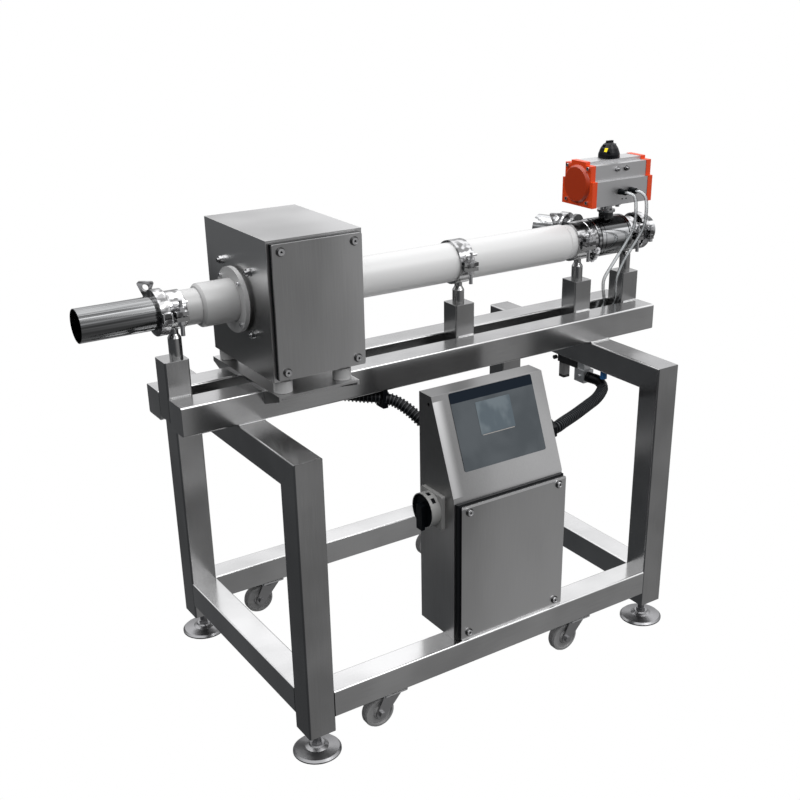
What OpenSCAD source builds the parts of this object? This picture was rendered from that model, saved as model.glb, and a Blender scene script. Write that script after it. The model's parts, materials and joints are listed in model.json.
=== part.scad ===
/* [Frame] */
// Width of the frame over its legs, along the pipeline
frame_w = 956; // [800:1:1300]
// Depth of the frame over its legs
frame_d = 618; // [520:1:900]
// Height of the top of the frame above the floor
frame_h = 650; // [620:1:900]
// Side of the square frame tube
tube = 60; // [50:1:70]
// Wall of the square tubes
tube_wall = 3; // [2:0.5:4]
// Outer corner radius of the square tubes
tube_r = 4; // [3:0.5:8]
// Height of the leg ends above the floor
leg_clear = 52; // [48:1:70]
// Height of the lower rails above the leg ends
rail_rise = 32; // [30:1:120]
// Thickness of the plate that closes a leg
end_plate_t = 8; // [4:1:15]

/* [Carriage] */
// Length of the two carriage beams
carriage_l = 1206; // [1150:1:1600]
// Overhang of the carriage past the left side frame
carriage_out = 110; // [90:1:200]
// Setback of the front beam from the front of the legs
carriage_set = 228; // [180:1:260]
// Side of the square support posts, and the gap between the beams
post = 50; // [40:1:60]
// Wall of the posts
post_wall = 2.5; // [2:0.5:5]
// Height of the posts above the beams
post_rise = 71; // [40:1:90]
// Height of the posts' lower ends above the underside of the beams
post_drop = 10; // [0:1:30]
// Post centres, measured from the left side frame
post_x = [-85, 581, 921, 1070];

/* [Levelling feet] */
// Diameter of the dish
dish_d = 99; // [70:1:120]
// Height of the dish at its hub
dish_h = 18; // [12:1:25]
// Diameter of the threaded stud
stud_d = 16; // [10:1:20]
// Length of the stud above the dish
stud_l = 78; // [60:1:120]
// Thickness of the lock nut
lock_nut_t = 12; // [8:1:16]

/* [Casters] */
// Diameter of the wheels
wheel_d = 70; // [50:1:72]
// Width of the wheels
wheel_w = 24; // [18:1:30]
// Offset of the axle from the swivel axis
trail = 30; // [20:1:40]
// Diameter of the axles
axle_d = 8; // [6:0.5:12]
// Sheet thickness of the fork
fork_t = 3; // [2:0.5:4]
// Side of the square mounting plate
caster_plate = 58; // [50:1:60]
// Swivel axis of the left casters, from the left side frame
caster_left = 205; // [140:1:320]
// Swivel axis of the right casters, from the left side frame
caster_right = 706; // [600:1:800]

/* [Detector head] */
// Width of the head along the pipeline
head_w = 200; // [190:1:260]
// Depth of the head
head_d = 266; // [230:1:320]
// Height of the head
head_h = 270; // [230:1:320]
// Left face of the head, from the left side frame
head_x = 60; // [55:1:120]
// Sheet thickness of the head and its door
head_wall = 3; // [1.5:0.5:4]
// Height of the plastic standoffs
standoff_h = 24; // [15:1:40]
// Diameter of the standoffs
standoff_d = 37; // [20:1:45]
// Spacing of the standoffs along the pipeline
standoff_dx = 129; // [100:1:150]
// Spacing of the standoffs front to back
standoff_dy = 242; // [225:1:260]
// Plate thickness of the base bracket
bracket_t = 5; // [3:0.5:8]
// Width of the base bracket along the pipeline
bracket_w = 176; // [150:1:200]
// Depth of the base bracket
bracket_d = 298; // [280:1:330]
// Spacing of the four tie bolts
tie_pitch = 121; // [116:1:140]
// Diameter of the pipe flanges
flange_d = 128; // [124:1:150]
// Thickness of the pipe flanges
flange_t = 9; // [5:1:15]

/* [Product line] */
// Height of the pipe's axis above the beams
axis_rise = 163; // [150:1:390]
// Reach of the inlet tube past the left side frame
inlet_reach = 256; // [220:1:400]
// Outer diameter of the steel tubes
steel_d = 63.5; // [50.8:0.1:65]
// Wall of the steel tubes
steel_wall = 1.65; // [1.2:0.05:3]
// Outer diameter of the clamp ferrules
ferrule_d = 77.5; // [70:0.5:84]
// Thickness of a ferrule
ferrule_t = 6; // [4:0.5:8]
// Thickness of a seal
seal_t = 2; // [1:0.5:4]
// Outer diameter of the plastic pipe
pipe_d = 84; // [80:1:92]
// Outer diameter of the plastic pipe's left end
pipe_left_d = 68; // [66:1:76]
// Outer diameter of the plastic pipe's right end
pipe_right_d = 78; // [74:1:80]
// Bore of the plastic pipe
pipe_bore = 54; // [40:1:58]
// Widths of the four support straps
strap_w = [32, 36, 36, 28];
// Offset of each support rod from the middle of its strap
rod_dx = [0, 7, 15, 6];
// Thickness of a support strap
strap_t = 5; // [3:0.5:8]
// Diameter of the support rods
rod_d = 26; // [20:1:32]
// Diameter of the necks of the support rods
neck_d = 17; // [12:1:20]
// Outer diameter of the two-part clamps
clamp_d = 88; // [84:1:96]
// Width of the two-part clamps
clamp_w = 20; // [18:1:24]

/* [Valve] */
// Valve axis, from the left side frame
valve_x = 1002; // [995:1:1020]
// Outer diameter of the valve barrel
barrel_d = 91; // [86:1:100]
// Length of the valve barrel's right half
barrel_l = 37; // [36:1:40]
// Diameter of the ball
ball_d = 76; // [72:1:77]
// Bore through the ball
ball_bore = 36; // [28:1:36]
// Angle of the reject tube from the pipeline
reject_angle = 66; // [60:1:90]
// Length of the reject tube, with its ferrule
reject_l = 70; // [60:1:160]

/* [Actuator] */
// Length of the extruded body
act_l = 155; // [152:1:170]
// Depth of the lower, wider part of the body
act_d = 102; // [98:1:110]
// Height of the body
act_h = 98; // [94:1:104]
// Underside of the body above the pipeline axis
act_rise = 82; // [74:1:110]
// Thickness of the end caps
act_cap_t = 14; // [10:1:20]
// Bore of the body
act_bore = 70; // [66:1:72]
// Tooth module of the racks and the pinion
tooth_m = 2; // [2:0.1:2.2]
// Teeth on the pinion
pinion_teeth = 18; // [18:2:18]
// Diameter of the position indicator
indicator_d = 50; // [40:1:60]
// Height of the position indicator
indicator_h = 38; // [25:1:45]

/* [Console] */
// Width of the console
console_w = 283; // [260:1:340]
// Depth of the console at its foot
console_d = 123; // [110:1:160]
// Height of the console
console_h = 527; // [460:1:560]
// Height of the fold below the sloping face
console_fold = 326; // [280:1:350]
// Depth of the flat top of the console
console_top = 43; // [30:1:60]
// Left side of the console, from the left side frame
console_x = 361; // [300:1:420]
// Setback of the console from the front of the legs
console_set = 19; // [15:1:40]
// Sheet thickness of the console
console_wall = 2; // [1.5:0.5:3]
// Width of the membrane panel
membrane_w = 211; // [180:1:240]
// Height of the membrane panel
membrane_h = 163; // [130:1:190]
// Side of the isolator's square plate
isolator_w = 76; // [60:1:84]
// Diameter of the isolator knob
knob_d = 70; // [50:1:71]

/* [Cables] */
// Outer diameter of the conduits
conduit_d = 27; // [20:1:32]
// Outer diameter of the air tubes
air_d = 8; // [6:1:10]

/* [Hidden] */
$fn = 48;
eps = 0.01;
weld_gap = 0.2;
// Gap between pieces that sit in or on each other without a running fit
seat = 0.2;
// Radial clearance of a shaft that turns in its bore
running = 0.05;
// How far the pinion's shaft stands below the actuator's body
pinion_foot = 2;
// Clearance between a moving piece and what it passes
pass = 0.4;

steel = "silver";
polished = "gainsboro";
dark_steel = "dimgray";
white_plastic = "whitesmoke";
black_rubber = "#1c1d1f";
orange = "orangered";

// Stations along the pipeline, from the left side frame
clamp_bite = ferrule_t + seal_t / 2;
inlet_joint = -103;
spool_l = 44;
pipe_start = inlet_joint + seal_t / 2 + spool_l;
pipe_step_left = pipe_start + 31;
end_disc_t = 9;
ring_t = 2;
port_neck = 4;
port_shift = 8;
barrel_left = valve_x - barrel_l - port_shift;
barrel_right = valve_x + barrel_l;
left_disc = barrel_left - ring_t - end_disc_t;
valve_joint = left_disc - port_neck - clamp_bite;
valve_spool_l = 22;
pipe_end = valve_joint - seal_t / 2 - valve_spool_l;
pipe_step_right = pipe_end - 46;
right_disc = barrel_right + ring_t + end_disc_t;
outlet_neck_l = 43;
outlet_joint = right_disc + outlet_neck_l + clamp_bite;
outlet_l = 35;
outlet_end = outlet_joint + seal_t / 2 + outlet_l;
run_l = inlet_reach + outlet_end;
support_x = [-76, 572, valve_joint - clamp_w / 2 - strap_w[2] / 2 - 1.5, right_disc + strap_w[3] / 2 + 1.5];
support_d = [steel_d, pipe_d, pipe_right_d, steel_d];

// Places in the part's own frame
left_x = inlet_reach - run_l / 2;
front_y = -frame_d / 2;
rear_y = frame_d / 2;
rail_z = leg_clear + rail_rise;
rail_top = rail_z + tube;
beam_top = frame_h + tube;
axis_h = beam_top + axis_rise;
beam_y = front_y + carriage_set;
axis_y = beam_y + tube + post / 2;
carriage_x = left_x - carriage_out;
head_left = left_x + head_x;
head_front = axis_y - head_d / 2;
head_z = beam_top + bracket_t + standoff_h;
bracket_x = head_left + bracket_w / 2;
reject_dir = 180 - reject_angle;
side_port_l = 104;
side_neck_d = 40;
side_disc = [72, 84, 8];
valve_c = [left_x + valve_x, axis_y, axis_h];
act_z = axis_h + act_rise;
console_left = left_x + console_x;
console_front = front_y + console_set;
mid_z = axis_h;

module rounded_square(side, r) {
    union() {
        square([side, side - 2 * r], center = true);
        square([side - 2 * r, side], center = true);
        for (sx = [-1, 1], sy = [-1, 1])
            translate([sx * (side / 2 - r), sy * (side / 2 - r)]) circle(r);
    }
}

module rounded_rect(w, h, r) {
    union() {
        square([w, h - 2 * r], center = true);
        square([w - 2 * r, h], center = true);
        for (sx = [-1, 1], sy = [-1, 1])
            translate([sx * (w / 2 - r), sy * (h / 2 - r)]) circle(r);
    }
}

module square_tube(side, wall, r, l) {
    linear_extrude(l) difference() {
        rounded_square(side, r);
        square(side - 2 * wall, center = true);
    }
}

// A square tube along X from its lower left front corner, closed at both ends
module closed_tube_x(side, wall, r, l, lid) {
    difference() {
        translate([0, side / 2, side / 2]) rotate([90, 0, 90]) linear_extrude(l) rounded_square(side, r);
        translate([lid, wall, wall]) cube([l - 2 * lid, side - 2 * wall, side - 2 * wall]);
    }
}

// Turns a profile drawn in Y and Z into a plate of the given thickness along X
module side_profile(t, points) {
    rotate([90, 0, 90]) linear_extrude(t) polygon(points);
}

// One leg, hollow, mitred at its top towards the cross tube, with the stud's hole in its end plate
module leg() {
    leg_l = frame_h - leg_clear;
    difference() {
        intersection() {
            translate([tube / 2, tube / 2, 0]) linear_extrude(leg_l) rounded_square(tube, tube_r);
            translate([-eps, 0, 0])
                side_profile(tube + 2 * eps, [[-eps, -eps], [tube + eps, -eps],
                                              [tube + eps, leg_l - tube - eps], [-eps, leg_l + eps]]);
        }
        translate([tube_wall, tube_wall, end_plate_t])
            cube([tube - 2 * tube_wall, tube - 2 * tube_wall, leg_l]);
        translate([tube / 2, tube / 2, -1]) cylinder(d = stud_d + 2 * running, h = end_plate_t + 2);
    }
}

// The tube between the two legs of a side frame, mitred at both ends
module cross_tube() {
    intersection() {
        translate([tube / 2, 0, frame_h - tube / 2]) rotate([-90, 0, 0])
            square_tube(tube, tube_wall, tube_r, frame_d);
        translate([-eps, 0, 0])
            side_profile(tube + 2 * eps, [[weld_gap, frame_h], [tube + weld_gap, frame_h - tube],
                                          [frame_d - tube - weld_gap, frame_h - tube],
                                          [frame_d - weld_gap, frame_h]]);
    }
}

module leg_frames() {
    color(steel) for (x = [left_x, left_x + frame_w - tube]) {
        translate([x, front_y, leg_clear]) leg();
        translate([x, rear_y, leg_clear]) mirror([0, 1, 0]) leg();
        translate([x, front_y, 0]) cross_tube();
    }
}

module base_rails() {
    color(steel) {
        for (y = [front_y, rear_y - tube])
            translate([left_x + tube, y, rail_z])
                closed_tube_x(tube, tube_wall, tube_r, frame_w - 2 * tube, tube_wall);
        for (x = [left_x, left_x + frame_w - tube])
            translate([x + tube, front_y + tube, rail_z]) rotate([0, 0, 90])
                closed_tube_x(tube, tube_wall, tube_r, frame_d - 2 * tube, tube_wall);
    }
}

module carriage_beams() {
    color(steel) for (y = [beam_y, beam_y + tube + post])
        translate([carriage_x, y, frame_h])
            closed_tube_x(tube, tube_wall, tube_r, carriage_l, tube_wall);
}

module support_posts() {
    post_l = tube - post_drop + post_rise;
    color(steel) for (x = post_x)
        translate([left_x + x, axis_y, frame_h + post_drop]) difference() {
            linear_extrude(post_l) rounded_square(post, tube_r);
            translate([0, 0, post_wall]) linear_extrude(post_l - 2 * post_wall)
                square(post - 2 * post_wall, center = true);
        }
}

// A caster's mounting plate with its swivel race, under a rail
swivel_gap = 0.3;
caster_plate_t = 4;
race_h = 4;
race_d = 44;
kingpin_d = 12;
fork_top = rail_z - caster_plate_t - race_h - swivel_gap;
caster_hole_pitch = 44;
caster_y = tube / 2;
function caster_spot(side, row) =
    [left_x + (side < 0 ? caster_left : caster_right), row < 0 ? front_y + caster_y : rear_y - caster_y];
// How far each fork is turned about its swivel axis, front left, front right, rear left, rear right
fork_turn = [180, 180, 180, 180];

module caster_plates() {
    color(polished) for (side = [-1, 1], row = [-1, 1])
        translate(concat(caster_spot(side, row), [rail_z - caster_plate_t])) {
            linear_extrude(caster_plate_t) difference() {
                rounded_square(caster_plate, 5);
                for (sx = [-1, 1], sy = [-1, 1])
                    translate([sx, sy] * caster_hole_pitch / 2) circle(d = 7);
            }
            translate([0, 0, -race_h]) cylinder(d = race_d, h = race_h);
        }
}

// One side of a fork, a tapered cheek from the crown down to the axle
module fork_cheek() {
    axle_drop = fork_top - wheel_d / 2;
    rotate([90, 0, 0]) linear_extrude(fork_t) difference() {
        hull() {
            circle(d = 24);
            translate([-trail - 20, axle_drop - fork_t]) square([42, fork_t]);
        }
        circle(d = axle_d + 2 * running);
    }
}

// A fork that stands at its swivel axis, its axle set back by the trail
module caster_fork() {
    cheek_y = wheel_w / 2 + 2;
    color(dark_steel) {
        union() {
            difference() {
                translate([0, 0, fork_top - fork_t]) cylinder(d = race_d + 4, h = fork_t);
                translate([0, 0, fork_top - fork_t - 1]) cylinder(d = kingpin_d + 2 * seat, h = fork_t + 2);
            }
            translate([trail, -cheek_y, wheel_d / 2]) fork_cheek();
            translate([trail, cheek_y + fork_t, wheel_d / 2]) fork_cheek();
        }
        translate([trail, 0, wheel_d / 2]) rotate([90, 0, 0])
            cylinder(d = axle_d, h = 2 * (cheek_y + fork_t) + 2, center = true);
        for (s = [-1, 1])
            translate([trail, s * (cheek_y + fork_t + seat), wheel_d / 2]) rotate([-90 * s, 0, 0])
                difference() {
                    cylinder(d = 15, h = 6, $fn = 6);
                    translate([0, 0, -1]) cylinder(d = axle_d + 2 * seat, h = 5);
                }
    }
}

module caster_wheel() {
    color("gray") translate([trail, 0, wheel_d / 2]) rotate([90, 0, 0]) rotate_extrude()
        polygon([[axle_d / 2 + running, -wheel_w / 2], [14, -wheel_w / 2], [16, -wheel_w / 2 + 4],
                 [wheel_d / 2 - 9, -wheel_w / 2 + 4], [wheel_d / 2 - 7, -wheel_w / 2 + 1],
                 [wheel_d / 2 - 2, -wheel_w / 2 + 2], [wheel_d / 2, -wheel_w / 2 + 6],
                 [wheel_d / 2, wheel_w / 2 - 6], [wheel_d / 2 - 2, wheel_w / 2 - 2],
                 [wheel_d / 2 - 7, wheel_w / 2 - 1], [wheel_d / 2 - 9, wheel_w / 2 - 4],
                 [16, wheel_w / 2 - 4], [14, wheel_w / 2], [axle_d / 2 + running, wheel_w / 2]]);
}

module at_caster(side, row, turn) {
    translate(concat(caster_spot(side, row), [0])) rotate([0, 0, turn]) children();
}

module front_left_fork() { at_caster(-1, -1, fork_turn[0]) caster_fork(); }
module front_right_fork() { at_caster(1, -1, fork_turn[1]) caster_fork(); }
module rear_left_fork() { at_caster(-1, 1, fork_turn[2]) caster_fork(); }
module rear_right_fork() { at_caster(1, 1, fork_turn[3]) caster_fork(); }
module front_left_wheel() { at_caster(-1, -1, fork_turn[0]) caster_wheel(); }
module front_right_wheel() { at_caster(1, -1, fork_turn[1]) caster_wheel(); }
module rear_left_wheel() { at_caster(-1, 1, fork_turn[2]) caster_wheel(); }
module rear_right_wheel() { at_caster(1, 1, fork_turn[3]) caster_wheel(); }

// A dished foot on its threaded stud
module levelling_foot() {
    color(polished) {
        rotate_extrude() polygon([[0, 0], [dish_d / 2, 0], [dish_d / 2, 3], [dish_d / 2 - 4, 7],
                                  [24, 11], [17, 15], [15, dish_h], [0, dish_h]]);
        translate([0, 0, dish_h]) {
            cylinder(d = 22, h = 6, $fn = 6);
            translate([0, 0, 6]) cylinder(d = stud_d, h = stud_l - 6);
        }
    }
}

function foot_spot(side, row) =
    [side < 0 ? left_x + tube / 2 : left_x + frame_w - tube / 2,
     row < 0 ? front_y + tube / 2 : rear_y - tube / 2, 0];

module front_left_foot() { translate(foot_spot(-1, -1)) levelling_foot(); }
module front_right_foot() { translate(foot_spot(1, -1)) levelling_foot(); }
module rear_left_foot() { translate(foot_spot(-1, 1)) levelling_foot(); }
module rear_right_foot() { translate(foot_spot(1, 1)) levelling_foot(); }

// The head's case, open at the front, with a lip round the door
lip = 32;
gasket_w = 7;
door_gap = 6;
door_t = 4;
gasket_t = 8;
bolt_d = 8;
screw_d = 6;
tie_z = axis_h + 4;

// Marks of the four tie bolts on the head's side faces
module tie_spots() {
    for (sy = [-1, 1], sz = [-1, 1])
        translate([0, axis_y + sy * tie_pitch / 2, tie_z + sz * tie_pitch / 2]) children();
}

module head_shell() {
    color(steel) difference() {
        translate([head_left, head_front, head_z]) cube([head_w, head_d, head_h]);
        translate([head_left + head_wall, head_front + head_wall, head_z + head_wall])
            cube([head_w - 2 * head_wall, head_d - 2 * head_wall, head_h - 2 * head_wall]);
        translate([head_left + lip, head_front - 1, head_z + lip])
            cube([head_w - 2 * lip, head_wall + 2, head_h - 2 * lip]);
        door_holes(head_door_c, head_door_w, head_door_h, screw_inset_x, screw_inset_z);
        translate([head_left - 1, axis_y, axis_h]) rotate([0, 90, 0])
            cylinder(d = pipe_d + 2 * seat, h = head_w + 2);
        translate([head_left - 1, 0, 0]) tie_spots()
            rotate([0, 90, 0]) cylinder(d = bolt_d + 2 * seat, h = head_w + 2);
        for (sx = [-1, 1], sy = [-1, 1])
            translate([bracket_x + sx * standoff_dx / 2, axis_y + sy * standoff_dy / 2, head_z - 1])
                cylinder(d = bolt_d + 2 * seat, h = head_wall + 2);
    }
}

// Half the height of the head's door and where its screws sit
head_door_w = head_w - 2 * door_gap;
head_door_h = head_h - 2 * door_gap;
screw_inset_x = 17;
screw_inset_z = 14;
head_door_c = [head_left + head_w / 2, head_front, head_z + head_h / 2];

module head_door() {
    color(steel) translate(head_door_c) rotate([90, 0, 0]) difference() {
        translate([0, 0, gasket_t]) linear_extrude(door_t) rounded_rect(head_door_w, head_door_h, 4);
        translate([0, 0, gasket_t - 1]) linear_extrude(door_t - head_wall + 1)
            square([head_door_w - 2 * head_wall, head_door_h - 2 * head_wall], center = true);
        for (sx = [-1, 1], sz = [-1, 1])
            translate([sx * (head_door_w / 2 - screw_inset_x), sz * (head_door_h / 2 - screw_inset_z), 0])
                cylinder(d = screw_d + 2 * seat, h = gasket_t + door_t + 1);
    }
}

// A flat frame between a door and its housing
module gasket_frame(w, h, band) {
    linear_extrude(gasket_t) difference() {
        square([w, h], center = true);
        square([w - 2 * band, h - 2 * band], center = true);
    }
}

console_door_w = console_w - 9;
console_door_h = 314;
console_door_gap = 12;
console_door_shift = 7;
console_door_z = rail_top + console_fold - console_door_gap - console_door_h / 2;
console_door_c = [console_left + console_w / 2 + console_door_shift, console_front, console_door_z];
console_screw_x = 19.5;
console_screw_z = 15;

module door_gaskets() {
    color(black_rubber) {
        translate(head_door_c) rotate([90, 0, 0]) gasket_frame(head_door_w, head_door_h, gasket_w);
        translate(console_door_c + [-console_door_shift + 1, 0, 3]) rotate([90, 0, 0])
            gasket_frame(console_w - 6, console_door_h + 4.5, gasket_w + 4);
    }
}

// A socket head screw along Z, its seat at z = 0
module socket_screw(d, l) {
    difference() {
        union() {
            cylinder(d = 1.6 * d, h = 0.8 * d);
            translate([0, 0, -l]) cylinder(d = d, h = l);
        }
        translate([0, 0, 0.3 * d]) cylinder(d = 0.9 * d, h = d, $fn = 6);
    }
}

module door_holes(centre, w, h, dx, dz) {
    translate(centre) rotate([-90, 0, 0]) for (sx = [-1, 1], sz = [-1, 1])
        translate([sx * (w / 2 - dx), sz * (h / 2 - dz), -1]) cylinder(d = screw_d + 2 * seat, h = head_wall + 2);
}

module door_screws(centre, w, h, dx, dz, proud, l) {
    translate(centre) rotate([90, 0, 0]) for (sx = [-1, 1], sz = [-1, 1])
        translate([sx * (w / 2 - dx), sz * (h / 2 - dz), proud]) socket_screw(screw_d, l);
}

flange_pitch = 80;
flange_screw_d = 5;
flange_boss_t = 6;
flange_boss_d = 102;
flange_out = flange_t + flange_boss_t;
cap_screw_d = 5;
cap_pitch_y = 70;
cap_raise = 4;
cap_pitch_z = 76;
cap_z = act_z + act_h / 2 - 5;

module socket_screws() {
    color(polished) {
        door_screws(head_door_c, head_door_w, head_door_h, screw_inset_x, screw_inset_z,
                    gasket_t + door_t, gasket_t + door_t + head_wall + 3);
        door_screws(console_door_c, console_door_w, console_door_h, console_screw_x, console_screw_z,
                    gasket_t + door_t, gasket_t + door_t + console_wall + 3);
        for (side = [-1, 1], sy = [-1, 1], sz = [-1, 1]) {
            translate([head_left + head_w / 2 + side * (head_w / 2 + flange_out),
                       axis_y + sy * flange_pitch / 2, axis_h + sz * flange_pitch / 2])
                rotate([0, 90 * side, 0]) socket_screw(flange_screw_d, flange_t - 2);
            translate([left_x + valve_x + side * (act_l / 2 + act_cap_t),
                       axis_y + sy * cap_pitch_y / 2, cap_z + cap_raise + sz * cap_pitch_z / 2])
                rotate([0, 90 * side, 0]) socket_screw(cap_screw_d, act_cap_t - 2);
        }
    }
}

// A washer and hexagon nut on a stud end that stands along Z
module nut_on_stud(d, out) {
    difference() {
        union() {
            cylinder(d = 2.1 * d, h = 0.2 * d);
            translate([0, 0, 0.2 * d]) cylinder(d = 1.85 * d, h = 0.8 * d, $fn = 6);
        }
        translate([0, 0, -1]) cylinder(d = d + 2 * seat, h = 2 * d);
    }
    translate([0, 0, -out]) cylinder(d = d, h = out + 1.5 * d);
}

stop_x = [-12, 15];
stop_drop = 12;
neck_plate_t = 8;
neck_bolt_pitch = 36;

module hex_bolts() {
    color(polished) {
        translate([head_left, 0, 0]) tie_spots() rotate([0, -90, 0]) nut_on_stud(bolt_d, head_wall);
        translate([head_left + head_w, 0, 0]) tie_spots() rotate([0, 90, 0]) nut_on_stud(bolt_d, head_wall);
        for (sx = [-1, 1], sy = [-1, 1])
            translate([bracket_x + sx * standoff_dx / 2, axis_y + sy * standoff_dy / 2, beam_top])
                rotate([180, 0, 0]) nut_on_stud(bolt_d, bracket_t);
        for (side = [-1, 1], row = [-1, 1])
            translate(foot_spot(side, row) + [0, 0, leg_clear - lock_nut_t]) difference() {
                cylinder(d = 27, h = lock_nut_t, $fn = 6);
                translate([0, 0, -1]) cylinder(d = stud_d + 2 * running, h = lock_nut_t + 2);
            }
        for (x = stop_x)
            translate([left_x + valve_x + x, axis_y - act_upper_d / 2, act_z + act_h - act_top_t - stop_drop])
                rotate([90, 0, 0]) nut_on_stud(6, 4);
        for (sx = [-1, 1], sy = [-1, 1])
            translate([valve_c.x + sx * neck_bolt_pitch / 2, axis_y + sy * neck_bolt_pitch / 2,
                       act_z - neck_plate_t])
                rotate([180, 0, 0]) cylinder(d = 10, h = 5, $fn = 6);
    }
}

module pipe_flanges() {
    color(white_plastic) for (side = [-1, 1])
        translate([head_left + head_w / 2 + side * head_w / 2, axis_y, axis_h])
            rotate([0, 90 * side, 0]) difference() {
                union() {
                    cylinder(d = flange_boss_d, h = flange_boss_t);
                    translate([0, 0, flange_boss_t]) cylinder(d = flange_d, h = flange_t);
                }
                translate([0, 0, -1]) cylinder(d = pipe_d + 2 * seat, h = flange_out + 2);
                for (sx = [-1, 1], sy = [-1, 1])
                    translate([sx * flange_pitch / 2, sy * flange_pitch / 2, flange_boss_t])
                        cylinder(d = flange_screw_d + 2 * seat, h = flange_t + 1);
            }
}

coil_w = 8;
coil_depth = 9;
coil_pitch = 52;

module detector_coils() {
    color("chocolate") for (i = [-1, 0, 1])
        translate([head_left + head_w / 2 + i * coil_pitch - coil_w / 2, axis_y, axis_h])
            rotate([0, 90, 0]) difference() {
                cylinder(d = pipe_d + 2 * coil_depth, h = coil_w);
                translate([0, 0, -1]) cylinder(d = pipe_d + 2 * seat, h = coil_w + 2);
            }
}

module head_standoffs() {
    color(white_plastic) for (sx = [-1, 1], sy = [-1, 1])
        translate([bracket_x + sx * standoff_dx / 2, axis_y + sy * standoff_dy / 2, beam_top + bracket_t])
            difference() {
                rotate_extrude() polygon([[0, 0], [standoff_d / 2 - 1, 0], [standoff_d / 2, 1],
                                          [standoff_d / 2, standoff_h - 1],
                                          [standoff_d / 2 - 1, standoff_h], [0, standoff_h]]);
                translate([0, 0, -1]) cylinder(d = bolt_d + 2 * seat, h = standoff_h + 2);
            }
}

// An inverted-U plate across both beams, with tapered side flanges where it overhangs
module head_bracket() {
    plate_y = axis_y - bracket_d / 2;
    reach = beam_y - seat - plate_y;
    flange_h = 28;
    tip_h = 5;
    color(steel) {
        difference() {
            union() {
                translate([bracket_x - bracket_w / 2, plate_y, beam_top]) cube([bracket_w, bracket_d, bracket_t]);
                for (x = [bracket_x - bracket_w / 2, bracket_x + bracket_w / 2 - bracket_t], end = [0, 1])
                    translate([x, axis_y, beam_top]) mirror([0, end, 0])
                        side_profile(bracket_t, [[-bracket_d / 2, eps], [-bracket_d / 2, -tip_h],
                                                 [-bracket_d / 2 + reach, -flange_h],
                                                 [-bracket_d / 2 + reach, eps]]);
            }
            for (sx = [-1, 1], sy = [-1, 1])
                translate([bracket_x + sx * standoff_dx / 2, axis_y + sy * standoff_dy / 2, beam_top - 1])
                    cylinder(d = bolt_d + 2 * seat, h = bracket_t + 2);
        }
    }
}

// Points of a turned tube's wall between two stations, drawn as radius and length
function tube_wall_points(outer, bore) =
    concat([for (p = outer) [p[1] / 2, p[0]]],
           [[bore / 2, outer[len(outer) - 1][0]], [bore / 2, outer[0][0]]]);

// Spins a list of [station, diameter] into a tube along X
module turned_x(outer, bore) {
    rotate([90, 0, 90]) rotate_extrude() polygon(tube_wall_points(outer, bore));
}

module product_pipe() {
    chamfer = 5;
    color(white_plastic) translate([left_x, axis_y, axis_h])
        turned_x([[pipe_start, pipe_left_d], [pipe_step_left, pipe_left_d],
                  [pipe_step_left, pipe_d - 2 * chamfer], [pipe_step_left + chamfer, pipe_d],
                  [pipe_step_right, pipe_d], [pipe_step_right + chamfer, pipe_right_d],
                  [pipe_end, pipe_right_d]], pipe_bore);
}

ferrule_chamfer = 2;
// A tube with a ferrule at its right end, as [station, diameter] pairs from start to joint
function ferruled(start, joint) =
    [[start, steel_d], [joint - ferrule_t, steel_d], [joint - ferrule_t + ferrule_chamfer, ferrule_d],
     [joint, ferrule_d]];
function ferrule_first(joint, end) =
    [[joint, ferrule_d], [joint + ferrule_t - ferrule_chamfer, ferrule_d], [joint + ferrule_t, steel_d],
     [end, steel_d]];

module in_branch() {
    translate(valve_c) rotate([0, 0, reject_dir]) children();
}

branch_joint = side_port_l + seal_t / 2;

module steel_spools() {
    steel_bore = steel_d - 2 * steel_wall;
    color(polished) {
        translate([left_x, axis_y, axis_h]) {
            turned_x(ferruled(-inlet_reach, inlet_joint - seal_t / 2), steel_bore);
            turned_x(ferrule_first(inlet_joint + seal_t / 2, pipe_start), pipe_bore);
            turned_x([[pipe_end, pipe_right_d], [valve_joint - clamp_bite - 4, pipe_right_d],
                      [valve_joint - clamp_bite - 4, steel_d], [valve_joint - clamp_bite, steel_d],
                      [valve_joint - clamp_bite + ferrule_chamfer, ferrule_d],
                      [valve_joint - seal_t / 2, ferrule_d]], pipe_bore);
            turned_x(ferrule_first(outlet_joint + seal_t / 2, outlet_end), steel_bore);
        }
        in_branch() turned_x(ferrule_first(branch_joint + seal_t / 2, branch_joint + seal_t / 2 + reject_l),
                             steel_bore);
    }
}

module pipe_seals() {
    color(black_rubber) {
        translate([left_x, axis_y, axis_h]) {
            for (x = [inlet_joint, valve_joint, outlet_joint])
                turned_x([[x - seal_t / 2, ferrule_d - 2], [x + seal_t / 2, ferrule_d - 2]], pipe_bore);
            for (side = [-1, 1]) translate([valve_x, 0, 0]) mirror([side > 0 ? 0 : 1, 0, 0]) {
                end = barrel_l + (side > 0 ? 0 : port_shift);
                turned_x([[end, barrel_d + 1], [end + ring_t, barrel_d + 1]], ball_d + 4);
                difference() {
                    turned_x([[25, ball_bore + 18], [end + ring_t - seat, ball_bore + 18]], ball_bore);
                    sphere(d = ball_d + 2 * running, $fn = 96);
                }
            }
        }
        in_branch() turned_x([[branch_joint - seal_t / 2, ferrule_d - 2],
                              [branch_joint + seal_t / 2, ferrule_d - 2]], pipe_bore);
    }
}

// The two-part clamps: a channel ring that wedges over two ferrules
ear_l = 20;
ear_w = 12;
ear_t = 9;
ear_gap = 2;
clamp_bolt_y = clamp_d / 2 + 7;
clamp_bolt_d = 8;

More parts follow.
